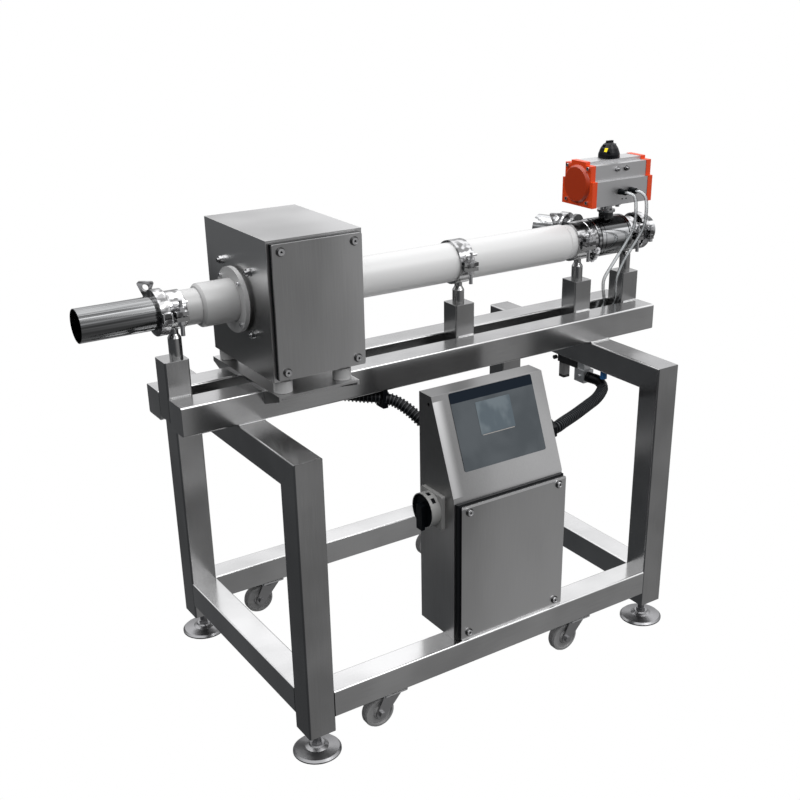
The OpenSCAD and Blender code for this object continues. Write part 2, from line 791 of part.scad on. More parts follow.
module clamp_ring() {
    groove = 2 * clamp_bite + 2 * seat;
    difference() {
        turned_x([[-clamp_w / 2, clamp_d - 2], [-clamp_w / 2 + 1, clamp_d], [clamp_w / 2 - 1, clamp_d],
                  [clamp_w / 2, clamp_d - 2]], steel_d + 2 * pass);
        turned_x([[-groove / 2, ferrule_d + 2 * seat], [groove / 2, ferrule_d + 2 * seat]], steel_d);
    }
}

// The upper half: its bolt ear is slotted, its hinge ear bored
module clamp_upper_half() {
    difference() {
        union() {
            intersection() {
                clamp_ring();
                translate([-clamp_w, -clamp_d, ear_gap / 2]) cube([2 * clamp_w, 2 * clamp_d, clamp_d]);
            }
            translate([-ear_w / 2, clamp_d / 2 - 3, ear_gap / 2]) cube([ear_w, ear_l - 3, ear_t]);
            translate([-ear_w / 2, -clamp_d / 2 - 8, ear_gap / 2]) cube([ear_w, 11, ear_t]);
        }
        translate([0, clamp_bolt_y, 0]) cylinder(d = clamp_bolt_d + 2 * seat, h = clamp_d);
        translate([-ear_w, -clamp_d / 2 - 4, ear_gap / 2 + 4]) rotate([0, 90, 0]) cylinder(d = 4.4, h = 2 * ear_w);
    }
}

module clamp_lower_half() {
    difference() {
        union() {
            intersection() {
                clamp_ring();
                translate([-clamp_w, -clamp_d, -clamp_d - ear_gap / 2]) cube([2 * clamp_w, 2 * clamp_d, clamp_d]);
            }
            translate([-ear_w / 2, clamp_d / 2 - 3, -ear_gap / 2 - ear_t]) cube([ear_w, ear_l - 3, ear_t]);
            translate([-ear_w / 2, -clamp_d / 2 - 8, -ear_gap / 2 - ear_t]) cube([ear_w, 11, ear_t]);
        }
        translate([0, clamp_bolt_y, -clamp_d]) cylinder(d = clamp_bolt_d + 2 * seat, h = clamp_d);
        translate([-ear_w, -clamp_d / 2 - 4, -ear_gap / 2 - 4]) rotate([0, 90, 0]) cylinder(d = 4.4, h = 2 * ear_w);
    }
}

// How far the reject clamp and the valve's inlet clamp are turned about their tube
reject_roll = 3;
valve_roll = 35;
// The two clamps with wing nuts have their bolt behind, the other two in front
module at_wing_clamps() {
    translate([left_x + inlet_joint, axis_y, axis_h]) children();
    in_branch() translate([branch_joint, 0, 0]) rotate([reject_roll, 0, 0]) children();
}

module at_nut_clamps() {
    translate([left_x + valve_joint, axis_y, axis_h]) rotate([valve_roll, 0, 0]) mirror([0, 1, 0]) children();
    translate([left_x + outlet_joint, axis_y, axis_h]) mirror([0, 1, 0]) children();
}

module at_clamps() {
    at_wing_clamps() children();
    at_nut_clamps() children();
}

module clamp_upper_halves() { color(dark_steel) at_clamps() clamp_upper_half(); }
module clamp_lower_halves() { color(dark_steel) at_clamps() clamp_lower_half(); }

// A clamp's bolt with its lower nut, and the two link pins at the hinge side
module clamp_bolt(top) {
    translate([0, clamp_bolt_y, -ear_t - ear_gap]) {
        translate([0, 0, 1 - seat - 7]) cylinder(d = 14, h = 7, $fn = 6);
        cylinder(d = clamp_bolt_d, h = top + ear_t + ear_gap);
    }
    for (z = [ear_gap / 2 + 4, -ear_gap / 2 - 4])
        translate([-ear_w / 2 - 3, -clamp_d / 2 - 4, z]) rotate([0, 90, 0]) cylinder(d = 4, h = ear_w + 6);
    for (x = [-ear_w / 2 - 3, ear_w / 2 + 1])
        translate([x, -clamp_d / 2 - 4, 0]) difference() {
            translate([0, -4, -9]) cube([2, 8, 18]);
            for (z = [ear_gap / 2 + 4, -ear_gap / 2 - 4])
                translate([-1, 0, z]) rotate([0, 90, 0]) cylinder(d = 4 + 2 * seat, h = 4);
        }
}

wing_seat = ear_gap / 2 + ear_t + seat;
strap_ear = 18;
strap_ear_t = 8;
t_bolt_d = 8;
function strap_od(i) = support_d[i] + 2 * strap_t + 2 * seat;

module clamp_bolts() {
    color(polished) {
        at_wing_clamps() clamp_bolt(wing_seat + 8);
        at_nut_clamps() {
            clamp_bolt(wing_seat + 12);
            translate([0, clamp_bolt_y, wing_seat]) difference() {
                cylinder(d = 15, h = 8, $fn = 6);
                translate([0, 0, -1]) cylinder(d = clamp_bolt_d + 2 * seat, h = 10);
            }
        }
        for (i = [0:3]) at_support(i) strap_bolt(i);
    }
}

module at_support(i) {
    translate([left_x + support_x[i], axis_y, axis_h]) children();
}

hinge_d = 12;
hinge_pin_d = 6;
lobe_w = 8;

// A support's T-bolt in front and its hinge pin behind
module strap_bolt(i) {
    r = strap_od(i) / 2;
    y = -(r + strap_ear / 2);
    translate([0, y, -38]) cylinder(d = t_bolt_d, h = 68);
    translate([-14, y, 24]) rotate([0, 90, 0]) cylinder(d = 6, h = 28);
    for (z = [strap_ear_t + 1 + seat, -strap_ear_t - 1 - seat - 7])
        translate([0, y, z]) difference() {
            cylinder(d = 15, h = 7, $fn = 6);
            translate([0, 0, -1]) cylinder(d = t_bolt_d + 2 * seat, h = 9);
        }
    translate([-strap_w[i] / 2 - 1, r + 5, 0]) rotate([0, 90, 0]) cylinder(d = hinge_pin_d, h = strap_w[i] + 2);
}

// The two halves of a support's ring, hinged behind: side is 1 for the strap and -1 for the saddle
module support_ring(i, side) {
    r = strap_od(i) / 2;
    w = strap_w[i];
    bolt_y = -(r + strap_ear / 2);
    gap = 1;
    inner = [-w / 2 + lobe_w + seat, w - 2 * lobe_w - 2 * seat];
    lobes = side > 0 ? [inner] : [[-w / 2, lobe_w], [w / 2 - lobe_w, lobe_w]];
    others = side > 0 ? [[-w / 2 - 1, lobe_w + 1 + seat], [w / 2 - lobe_w - seat, lobe_w + 2]]
                      : [[inner[0] - seat, inner[1] + 2 * seat]];
    difference() {
        union() {
            intersection() {
                translate([-w / 2, 0, 0]) rotate([0, 90, 0]) cylinder(r = r, h = w);
                translate([-w, -2 * r, side > 0 ? gap : -gap - 2 * r]) cube([2 * w, 4 * r, 2 * r]);
            }
            translate([-w / 2 + 4, -r - strap_ear, side > 0 ? gap : -gap - strap_ear_t])
                cube([w - 8, strap_ear + 3, strap_ear_t]);
            for (l = lobes) {
                translate([l[0], r + 5, 0]) rotate([0, 90, 0]) cylinder(d = hinge_d, h = l[1]);
                translate([l[0], r - 4, side > 0 ? gap : -hinge_d / 2]) cube([l[1], 9, hinge_d / 2 - gap]);
            }
        }
        for (l = others) translate([l[0], r + 5, 0]) rotate([0, 90, 0]) cylinder(d = hinge_d + 2 * pass, h = l[1]);
        translate([-w, 0, 0]) rotate([0, 90, 0]) cylinder(r = r - strap_t, h = 2 * w);
        translate([0, bolt_y, -r]) cylinder(d = t_bolt_d + 2 * seat, h = 2 * r);
        translate([-w, r + 5, 0]) rotate([0, 90, 0]) cylinder(d = hinge_pin_d + 2 * seat, h = 2 * w);
    }
}

// The lower part of a support with its rod, which stands on a post
module saddle(i) {
    r = strap_od(i) / 2;
    post_top = beam_top + post_rise - axis_h;
    shoulder = -r - 16;
    dx = rod_dx[i];
    union() {
        support_ring(i, -1);
        translate([dx, 0, post_top]) cylinder(d = rod_d, h = shoulder - post_top);
        translate([dx, 0, shoulder]) cylinder(d1 = rod_d, d2 = neck_d, h = 8);
        difference() {
            translate([dx, 0, shoulder + 8]) cylinder(d = neck_d, h = 8 + strap_t - 1);
            translate([strap_w[i] / 2, -rod_d, -r - 1]) cube([rod_d, 2 * rod_d, r]);
            translate([-rod_d, 0, 0]) rotate([0, 90, 0]) cylinder(r = r - strap_t, h = 4 * rod_d);
        }
    }
}

module support_saddles() {
    color(dark_steel) for (i = [0:3]) at_support(i) saddle(i);
}

module support_straps() {
    color(dark_steel) for (i = [0:3]) at_support(i) support_ring(i, 1);
}

// A wing nut whose wings join in an eye
module wing_nut() {
    wing_w = 30;
    difference() {
        union() {
            cylinder(d = 15.5, h = 4);
            translate([0, 0, 4]) cylinder(d1 = 15.5, d2 = 12, h = 8);
            translate([0, 4, 0]) rotate([90, 0, 0]) linear_extrude(8) difference() {
                hull() {
                    translate([0, 11]) circle(d = 11);
                    translate([-wing_w / 2 + 4, 33]) circle(d = 8);
                    translate([wing_w / 2 - 4, 33]) circle(d = 8);
                }
                translate([0, 26]) circle(d = 13);
            }
        }
        translate([0, 0, -1]) cylinder(d = clamp_bolt_d + 2 * running, h = 11);
    }
}

// Wing nuts stand with their wings across the view from the front left
wing_turn = -35;

module inlet_wing_nut() {
    color(dark_steel) translate([left_x + inlet_joint, axis_y + clamp_bolt_y, axis_h + wing_seat + running])
        rotate([0, 0, wing_turn]) wing_nut();
}

module reject_wing_nut() {
    color(dark_steel) in_branch() translate([branch_joint, 0, 0]) rotate([reject_roll, 0, 0])
        translate([0, clamp_bolt_y, wing_seat + running]) rotate([0, 0, wing_turn - reject_dir]) wing_nut();
}

// The three-way valve's barrel with its side port and stem boss
stem_d = 18;
boss_d = 34;
boss_h = 12;

module valve_body() {
    groove_w = 3;
    color(polished) difference() {
        union() {
            translate([left_x + barrel_left, axis_y, axis_h]) rotate([0, 90, 0])
                cylinder(d = barrel_d, h = barrel_right - barrel_left);
            in_branch() turned_x([[0, side_neck_d], [side_disc[0], side_neck_d], [side_disc[0], side_disc[1]],
                                  [side_disc[0] + side_disc[2], side_disc[1]],
                                  [side_disc[0] + side_disc[2], steel_d], [side_port_l - ferrule_t, steel_d],
                                  [side_port_l - ferrule_t + ferrule_chamfer, ferrule_d],
                                  [side_port_l, ferrule_d]], 0);
            translate(valve_c) cylinder(d = boss_d, h = barrel_d / 2 + boss_h);
        }
        translate(valve_c - [barrel_l + port_shift + 1, 0, 0]) rotate([0, 90, 0])
            cylinder(d = ball_d + 2 * pass, h = 3 * barrel_l);
        translate([left_x + barrel_left + 9, axis_y, axis_h])
            turned_x([[0, barrel_d + 2], [groove_w, barrel_d + 2]], barrel_d - 2);
        in_branch() turned_x([[0, ball_bore], [side_port_l - 22, ball_bore], [side_port_l - 6, pipe_bore],
                              [side_port_l + 1, pipe_bore]], 0);
        translate(valve_c) cylinder(d = stem_d + 2 * running, h = barrel_d);
    }
}

// An end cap, drawn for the left: a ferrule, a disc and a bore that narrows to the ball's bore
module end_cap(joint, neck, disc, inner) {
    dir = inner > joint ? 1 : -1;
    difference() {
        rotate([90, 0, 90]) rotate_extrude()
            polygon([[0, joint], [ferrule_d / 2, joint], [ferrule_d / 2, joint + dir * (ferrule_t - ferrule_chamfer)],
                     [steel_d / 2, joint + dir * ferrule_t], [steel_d / 2, disc], [barrel_d / 2 - 1.5, disc],
                     [barrel_d / 2, disc + dir * 1.5], [barrel_d / 2, inner], [0, inner]]);
        rotate([90, 0, 90]) rotate_extrude()
            polygon([[0, joint - dir], [pipe_bore / 2, joint - dir], [pipe_bore / 2, neck],
                     [ball_bore / 2, disc], [ball_bore / 2, inner + dir], [0, inner + dir]]);
    }
}

module valve_end_caps() {
    color(polished) translate([left_x, axis_y, axis_h]) {
        end_cap(valve_joint + seal_t / 2, valve_joint + seal_t / 2 + 1, left_disc, barrel_left - ring_t);
        end_cap(outlet_joint - seal_t / 2, right_disc + 24, right_disc, barrel_right + ring_t);
    }
}

// The ball. At rest its straight bore joins inlet and outlet. Turned clockwise by a quarter, the
// other two bores join inlet and reject port, and a solid part stands before the outlet.
ball_bores = [0, 180, 180 + 90 - reject_angle, 270];
drive_w = 8;
drive_h = 6;

module valve_ball() {
    color(polished) translate(valve_c) difference() {
        sphere(d = ball_d, $fn = 96);
        for (a = ball_bores) rotate([0, 90, a]) cylinder(d = ball_bore, h = ball_d);
        translate([-ball_d / 2, -drive_w / 2, ball_d / 2 - drive_h]) cube([ball_d, drive_w, drive_h + 1]);
    }
}

module valve_stem() {
    foot_z = ball_d / 2 - drive_h + seat;
    top_z = act_rise - pinion_foot - seat;
    color(polished) translate(valve_c) difference() {
        translate([0, 0, foot_z]) cylinder(d = stem_d, h = top_z - foot_z);
        for (s = [-1, 1])
            translate([-stem_d / 2 - 1, s > 0 ? drive_w / 2 - seat : -stem_d - drive_w / 2 + seat, foot_z - 1])
                cube([stem_d + 2, stem_d, drive_h + 1 + pass]);
    }
}

// The neck that carries the actuator on the valve's boss
module valve_neck() {
    z0 = axis_h + barrel_d / 2 + boss_h;
    h = act_z - z0;
    color(steel) translate([valve_c.x, valve_c.y, z0]) difference() {
        union() {
            cylinder(d = boss_d + 8, h = 5);
            cylinder(d = 28, h = h);
            translate([0, 0, h - neck_plate_t]) linear_extrude(neck_plate_t) rounded_square(52, 8);
        }
        translate([0, 0, -1]) cylinder(d = stem_d + 2 * pass, h = h + 2);
        translate([0, 0, h - pinion_foot - pass]) cylinder(d = shaft_d + 2 * pass, h = h);
    }
}

// The actuator's section: a wide lower part, a narrower upper part and a raised top strip
act_upper_d = act_d - 16;
act_strip_d = act_d - 56;
act_lower_h = 56;
act_top_t = 7;

function act_section(grow) =
    [[-act_d / 2 - grow, -grow], [act_d / 2 + grow, -grow], [act_d / 2 + grow, act_lower_h + grow],
     [act_upper_d / 2 + grow, act_lower_h + grow], [act_upper_d / 2 + grow, act_h - act_top_t + grow],
     [act_strip_d / 2 + grow, act_h - act_top_t + grow], [act_strip_d / 2 + grow, act_h + grow],
     [-act_strip_d / 2 - grow, act_h + grow], [-act_strip_d / 2 - grow, act_h - act_top_t + grow],
     [-act_upper_d / 2 - grow, act_h - act_top_t + grow], [-act_upper_d / 2 - grow, act_lower_h + grow],
     [-act_d / 2 - grow, act_lower_h + grow]];

shaft_d = 22;
port_x = [-8, 24];
port_z = act_z + 30;
port_d = 10;
act_c = [left_x + valve_x, axis_y, act_z];

module actuator_body() {
    color("darkgray") translate(act_c) difference() {
        translate([-act_l / 2, 0, 0]) side_profile(act_l, act_section(0));
        translate([-act_l, 0, cap_z - act_z]) rotate([0, 90, 0]) cylinder(d = act_bore, h = 2 * act_l);
        cylinder(d = shaft_d + 2 * running, h = 3 * act_h, center = true);
        for (x = port_x)
            translate([x, -act_d, port_z - act_z]) rotate([-90, 0, 0]) cylinder(d = port_d, h = act_d / 2 + 8);
        for (x = stop_x)
            translate([x, -act_d, act_h - act_top_t - stop_drop]) rotate([-90, 0, 0])
                cylinder(d = 6 + 2 * seat, h = act_d - act_upper_d / 2 + 5);
    }
}

module actuator_caps() {
    dome_d = 86;
    color(orange) for (side = [-1, 1])
        translate([act_c.x + side * act_l / 2, axis_y, 0]) mirror([side < 0 ? 1 : 0, 0, 0]) difference() {
            union() {
                translate([0, 0, act_z]) side_profile(act_cap_t, act_section(1));
                translate([act_cap_t, 0, cap_z + cap_raise]) rotate([0, 90, 0]) rotate_extrude()
                    polygon([[0, 0], [dome_d / 2, 0], [dome_d / 2 - 1, 3], [dome_d / 2 - 5, 7], [0, 8]]);
            }
            for (sy = [-1, 1], sz = [-1, 1])
                translate([-1, sy * cap_pitch_y / 2, cap_z + cap_raise + sz * cap_pitch_z / 2]) rotate([0, 90, 0]) {
                    cylinder(d = cap_screw_d + 2 * seat, h = act_cap_t + 20);
                    translate([0, 0, act_cap_t + 1]) cylinder(d = 2 * cap_screw_d, h = 20);
                }
        }
}

// Rack and pinion
pitch_r = tooth_m * pinion_teeth / 2;
tooth_pitch = PI * tooth_m;
backlash = 0.25;
piston_t = 12;
piston_in = 35;
rack_w = 12;
gear_h = 16;
pressure = 20;

// The rack's outline, teeth towards +Y, its pitch line on the X axis
function rack_tooth(x) =
    let (half = tooth_pitch / 4 - backlash / 2, add = tooth_m * 0.95, ded = tooth_m * 1.2, lean = tan(pressure))
    [[x - half - ded * lean, -ded], [x - half + add * lean, add], [x + half - add * lean, add],
     [x + half + ded * lean, -ded]];

module rack_bar(from, to) {
    first = ceil((from + 4) / tooth_pitch);
    last = floor((to - 4) / tooth_pitch);
    back = -tooth_m * 1.2 - rack_w;
    points = concat([[from, back], [from, -tooth_m * 1.2]],
                    [for (k = [first:last]) each rack_tooth(k * tooth_pitch)],
                    [[to, -tooth_m * 1.2], [to, back]]);
    translate([0, 0, -gear_h / 2]) linear_extrude(gear_h) polygon(points);
}

// A piston with its rack beside the pinion, drawn for the left side with the rack in front
module piston() {
    tail = 2;
    union() {
        translate([-piston_in - piston_t, 0, 0]) rotate([0, 90, 0]) rotate_extrude()
            polygon([[0, 0], [act_bore / 2 - 1.5, 0], [act_bore / 2 - running, 1.5],
                     [act_bore / 2 - running, piston_t - 1], [act_bore / 2 - 1, piston_t], [0, piston_t]]);
        translate([0, -pitch_r, 0]) rack_bar(-piston_in - tail, piston_in - 1);
    }
}

module at_pistons() {
    translate([act_c.x, axis_y, cap_z]) children();
}

module left_piston() { color("lightsteelblue") at_pistons() piston(); }
module right_piston() { color("lightsteelblue") at_pistons() rotate([0, 0, 180]) piston(); }

// Involute pinion
base_r = pitch_r * cos(pressure);
tip_r = pitch_r + tooth_m * 0.95;
root_r = pitch_r - tooth_m * 1.2;
function inv_angle(r) = let (a = acos(base_r / r)) tan(a) * 180 / PI - a;
function flank_angle(r) =
    90 / pinion_teeth - backlash / 2 / pitch_r * 180 / PI + inv_angle(pitch_r) - inv_angle(max(r, base_r));
flank_radii = [root_r, base_r, pitch_r - 0.4, pitch_r + 0.8, tip_r];
function pinion_tooth(a) =
    concat([for (r = flank_radii) r * [cos(a - flank_angle(r)), sin(a - flank_angle(r))]],
           [for (i = [len(flank_radii) - 1:-1:0]) let (r = flank_radii[i])
               r * [cos(a + flank_angle(r)), sin(a + flank_angle(r))]]);

module pinion() {
    color("lightslategray") at_pistons() difference() {
        union() {
            translate([0, 0, -gear_h / 2 - 1]) linear_extrude(gear_h + 2)
                polygon([for (k = [0:pinion_teeth - 1]) each pinion_tooth(k * 360 / pinion_teeth)]);
            translate([0, 0, act_z - cap_z - pinion_foot])
                cylinder(d = shaft_d, h = act_h + pinion_foot);
        }
    }
}

// A ribbed dome that turns with the pinion and shows the valve's position
module position_indicator() {
    r = indicator_d / 2;
    z0 = act_z + act_h + pass;
    color(black_rubber) translate([act_c.x, axis_y, z0]) difference() {
        union() {
            rotate_extrude() polygon([[0, 0], [r, 0], [r, 8], [r - 1.5, 13], [r - 5, 22], [r - 11, 30],
                                      [r - 17, indicator_h - 4], [0, indicator_h - 3]]);
            translate([-r + 7, -3, 0]) cube([2 * r - 14, 6, indicator_h - 8]);
            translate([-9, -3, 0]) cube([18, 6, indicator_h]);
        }
        for (a = [45:90:315]) rotate([0, 0, a]) translate([r + 4, 0, 10]) cylinder(d = 14, h = indicator_h);
    }
}

// Push-in fittings on the actuator and the stubs in the solenoid valve
fitting_l = 20;

module air_fittings() {
    color(black_rubber) for (x = port_x)
        translate([act_c.x + x, axis_y - act_d / 2, port_z]) rotate([90, 0, 0]) difference() {
            union() {
                translate([0, 0, -7]) cylinder(d = port_d - 2 * seat, h = 7);
                cylinder(d = 15, h = 7, $fn = 6);
                translate([0, 0, 7]) cylinder(d = 13, h = fitting_l - 7);
            }
            translate([0, 0, 6]) cylinder(d = air_d + 2 * seat, h = fitting_l);
        }
}

// Tubes that follow a list of points
function unit(v) = v / norm(v);
function tangent(path, i) =
    unit(path[min(i + 1, len(path) - 1)] - path[max(i - 1, 0)]);
function side_of(t, old) = unit(old - (old * t) * t);
function sides(path, i, first) =
    i == 0 ? [side_of(tangent(path, 0), first)]
           : let (before = sides(path, i - 1, first))
             concat(before, [side_of(tangent(path, i), before[i - 1])]);
// A smooth curve through the points, with the given number of steps between each two
function curve_point(a, b, c, d, t) =
    0.5 * (2 * b + (c - a) * t + (2 * a - 5 * b + 4 * c - d) * t * t + (3 * b - a - 3 * c + d) * t * t * t);
function smooth_path(p, steps) =
    concat([for (i = [0:len(p) - 2], k = [0:steps - 1])
                curve_point(p[max(i - 1, 0)], p[i], p[i + 1], p[min(i + 2, len(p) - 1)], k / steps)],
           [p[len(p) - 1]]);

module swept_tube(path, d, count, first) {
    across = sides(path, len(path) - 1, first);
    rings = [for (i = [0:len(path) - 1])
                 let (t = tangent(path, i), u = across[i], v = cross(t, u))
                 for (k = [0:count - 1]) path[i] + d / 2 * (cos(360 * k / count) * u + sin(360 * k / count) * v)];
    last = len(path) - 1;
    walls = [for (i = [0:last - 1], k = [0:count - 1])
                 let (a = i * count + k, b = i * count + (k + 1) % count) [a, a + count, b + count, b]];
    polyhedron(rings, concat(walls, [[for (k = [0:count - 1]) k]],
                             [[for (k = [count - 1:-1:0]) last * count + k]]), convexity = 6);
}

// Routes of the tubes and conduits, in the part's own frame
left_air_route = [[554, -62, 985], [554, -70, 985], [557, -79, 984], [565, -87, 975], [572, -85, 941], [578, -75, 904],
                  [574, -60, 871], [549, -40, 812], [539, -28, 780], [546, -18, 752], [560, -8, 722],
                  [563, 0, 700], [552, 6, 672], [538, 8, 645], [532, 8, 606], [524, 6, 588],
                  [512, 4, 581.5], [491, 4, 581]];
right_air_route = [[586, -62, 985], [586, -70, 985], [590, -79, 984], [598, -87, 972], [605, -85, 941], [612, -74, 905],
                   [609, -60, 874], [590, -40, 822], [581, -28, 781], [587, -18, 750], [597, -8, 718],
                   [598, 4, 696], [582, 12, 676], [562, 18, 648], [553, 20, 606], [540, 22, 587],
                   [522, 22, 581.5], [491, 22, 581]];
left_conduit_route = [[-224, 4, 709.6], [-224, 4, 690], [-221, 4, 672], [-207, 4, 654], [-185, -1, 638], [-155, -24, 634],
                      [-128, -47, 632], [-104, -64, 630], [-84, -83, 624], [-68, -109, 610],
                      [-56, -133, 593], [-48, -150, 582], [-47, -158, 581], [-47, -166.7, 581]];
right_conduit_route = [[470, -66.4, 559], [470, -74, 559], [479, -90, 555], [476, -110, 547], [455, -128, 542],
                       [420, -150, 540], [380, -169, 540], [316, -199, 541], [262, -222, 542], [232, -236, 543],
                       [216, -238, 543], [204.4, -238, 543]];

module left_air_tube() { color("white", 0.5) swept_tube(smooth_path(left_air_route, 1), air_d, 8, [1, 0, 0]); }
module right_air_tube() { color("white", 0.5) swept_tube(smooth_path(right_air_route, 1), air_d, 8, [1, 0, 0]); }
// A lock nut round a conduit where it enters the console, along X
module gland() {
    gland_d = 44;
    gland_t = 11;
    rotate([0, 90, 0]) difference() {
        cylinder(d = gland_d, h = gland_t, $fn = 6);
        translate([0, 0, -1]) cylinder(d = conduit_d + 9, h = gland_t + 2);
    }
}

// The left conduit is held by a block under the front beam
module left_conduit() {
    clip_t = 13;
    clip_d = 30;
    clip_h = 40;
    end = left_conduit_route[len(left_conduit_route) - 1];
    color(black_rubber) {
        swept_tube(left_conduit_route, conduit_d, 10, [1, 0, 0]);
        difference() {
            translate([-104 - clip_t / 2, -64 - clip_d / 2, frame_h - clip_h - seat]) cube([clip_t, clip_d, clip_h]);
            swept_tube(left_conduit_route, conduit_d + 2 * seat, 10, [1, 0, 0]);
        }
        translate([end.x, console_front + console_d + seat, end.z]) rotate([0, 0, 90]) gland();
    }
}

module right_conduit() {
    end = right_conduit_route[len(right_conduit_route) - 1];
    color(black_rubber) {
        swept_tube(right_conduit_route, conduit_d, 10, [0, 0, 1]);
        translate([console_left + console_w + seat, end.y, end.z]) gland();
    }
}

// The solenoid valve under the right cross tube, with its coil and air inlet
under_x = left_x + frame_w - tube / 2;
under_z = frame_h - tube;

// Block, coil with its plug and knob, and the exhaust fitting
module solenoid_valve() {
    block = [34, 70, 18];
    block_front = -31;
    coil_w = 20;
    coil_h = 36;
    color(dark_steel) {
        difference() {
            translate([under_x - 24, block_front, under_z - block.z]) cube(block);
            for (y = [4, 22])
                translate([under_x + 4, y, under_z - block.z / 2]) rotate([0, 90, 0]) cylinder(d = air_d + 2 * seat, h = 10);
        }
        translate([under_x - 26, 12, under_z - block.z - coil_h]) linear_extrude(coil_h - seat)
            translate([coil_w / 2, coil_w / 2]) rounded_square(coil_w, 3);
        translate([under_x - 32, 44, under_z - block.z / 2]) rotate([0, 90, 0]) cylinder(d = 10, h = 8 - seat);
        translate([under_x - 11, -113, under_z - 22]) cylinder(d = 16, h = 22);
    }
}

box_w = 30;
box_d = 34;
box_h = 30;
box_drop = 15;

module junction_box() {
    color("gray") translate([under_x - 31, -66, under_z - box_drop - box_h]) {
        difference() {
            cube([box_w, box_d, box_h]);
            translate([2, 2, 2]) cube([box_w - 4, box_d - 4, box_h - 4]);
        }
        translate([0, box_d / 2, box_h / 2]) rotate([0, -90, 0]) socket_screw(5, 2 - eps);
        translate([5, 5, box_h]) cube([box_w - 10, box_d - 10, box_drop]);
    }
}

// The console's outline in Y and Z, drawn in by the given amount
function console_outline(inset) =
    let (run = console_d - console_top, rise = console_h - console_fold, slope = atan2(rise, run),
         cut = inset * tan((90 - slope) / 2), corner = inset * tan(slope / 2))
    [[inset, inset], [inset, console_fold - cut], [console_d - console_top + corner, console_h - inset],
     [console_d - inset, console_h - inset], [console_d - inset, inset]];

module console_body() {
    opening_w = console_w - 2 * lip;
    opening_h = console_door_h - 2 * lip;
    color(steel) translate([console_left, console_front, rail_top]) difference() {
        side_profile(console_w, console_outline(0));
        translate([console_wall, 0, 0]) side_profile(console_w - 2 * console_wall, console_outline(console_wall));
        translate([(console_w - opening_w) / 2 + console_door_shift, -1, console_door_z - rail_top - opening_h / 2])
            cube([opening_w, console_wall + 2, opening_h]);
        translate([-1, 89, console_h - 19]) rotate([0, 90, 0]) cylinder(d = 8, h = console_wall + 2);
        translate([-console_left, -console_front, -rail_top])
            door_holes(console_door_c, console_door_w, console_door_h, console_screw_x, console_screw_z);
    }
}

module console_door() {
    color(steel) translate(console_door_c) rotate([90, 0, 0]) difference() {
        translate([0, 0, gasket_t]) linear_extrude(door_t) rounded_rect(console_door_w, console_door_h, 4);
        translate([0, 0, gasket_t - 1]) linear_extrude(door_t - console_wall + 1)
            square([console_door_w - 2 * console_wall, console_door_h - 2 * console_wall], center = true);
        for (sx = [-1, 1], sz = [-1, 1])
            translate([sx * (console_door_w / 2 - console_screw_x), sz * (console_door_h / 2 - console_screw_z), 0])
                cylinder(d = screw_d + 2 * seat, h = gasket_t + door_t + 1);
    }
}

// The membrane panel lies on the sloping face, with the display's frame standing a little proud
module membrane_panel() {
    run = console_d - console_top;
    rise = console_h - console_fold;
    slope = atan2(rise, run);
    length = norm([run, rise]);
    edge = 2;
    display_w = 88;
    display_h = 68;
    color("darkslategray")
        translate([console_left + console_w / 2 + 5, console_front, rail_top + console_fold])
            rotate([slope, 0, 0]) translate([0, length - edge - membrane_h / 2, 0]) {
                linear_extrude(1.2) rounded_rect(membrane_w, membrane_h, 4);
                translate([-membrane_w / 2 + 58 + display_w / 2, membrane_h / 2 - 30 - display_h / 2, 1.2])
                    linear_extrude(0.6) rounded_rect(display_w, display_h, 2);
            }
}

isolator_y = console_front + 69;
isolator_z = rail_top + 288;
isolator_plate_t = 9;
rim_t = 2;
collar_d = knob_d + 2 * rim_t + 2 * pass;
collar_t = 22;
cup_h = 13;

module isolator_base() {
    color("slategray") translate([console_left, isolator_y, isolator_z]) rotate([0, -90, 0]) difference() {
        union() {
            linear_extrude(isolator_plate_t) rounded_square(isolator_w, 4);
            translate([0, 0, isolator_plate_t]) cylinder(d = collar_d, h = collar_t);
        }
        translate([0, 0, isolator_plate_t + collar_t - cup_h]) cylinder(d = knob_d + 2 * pass, h = collar_t);
        translate([0, 0, isolator_plate_t + 1]) cylinder(d = 14 + 2 * running, h = collar_t);
        for (a = [-8, -40]) rotate([0, 0, a])
            translate([collar_d / 2 - 6, -6, isolator_plate_t + 6]) cube([12, 12, 9]);
    }
}

module isolator_knob() {
    grip_w = 20;
    grip_h = 8;
    disc_t = 7;
    inner = knob_d / 2 - 3;
    color(black_rubber) translate([console_left - isolator_plate_t - collar_t, isolator_y, isolator_z])
        rotate([0, -90, 0]) union() {
            translate([0, 0, -collar_t + 2]) cylinder(d = 14, h = collar_t - cup_h);
            translate([0, 0, pass - cup_h]) cylinder(d = knob_d, h = disc_t);
            translate([-inner, -grip_w / 2, pass - cup_h]) cube([inner + 14, grip_w, cup_h + grip_h]);
            translate([-knob_d / 2 - 6, -grip_w / 2, pass]) cube([knob_d / 2, grip_w, grip_h]);
        }
}

module circuit_boards() {
    board_t = 2;
    spacer_l = 10;
    spacer_d = 7;
    color("seagreen") {
        translate([console_left, console_front + console_d - console_wall, rail_top + 120]) {
            translate([50, -spacer_l - board_t, 0]) cube([console_w - 100, board_t, 160]);
            for (x = [60, console_w - 60], z = [10, 150])
                translate([x, -spacer_l, z]) rotate([-90, 0, 0]) cylinder(d = spacer_d, h = spacer_l);
        }
        translate([head_left, head_front + head_d - head_wall, head_z]) {
            translate([30, -spacer_l - board_t, 60]) cube([head_w - 60, board_t, head_h - 120]);
            for (x = [40, head_w - 40], z = [70, head_h - 70])
                translate([x, -spacer_l, z]) rotate([-90, 0, 0]) cylinder(d = spacer_d, h = spacer_l);
        }
    }
}

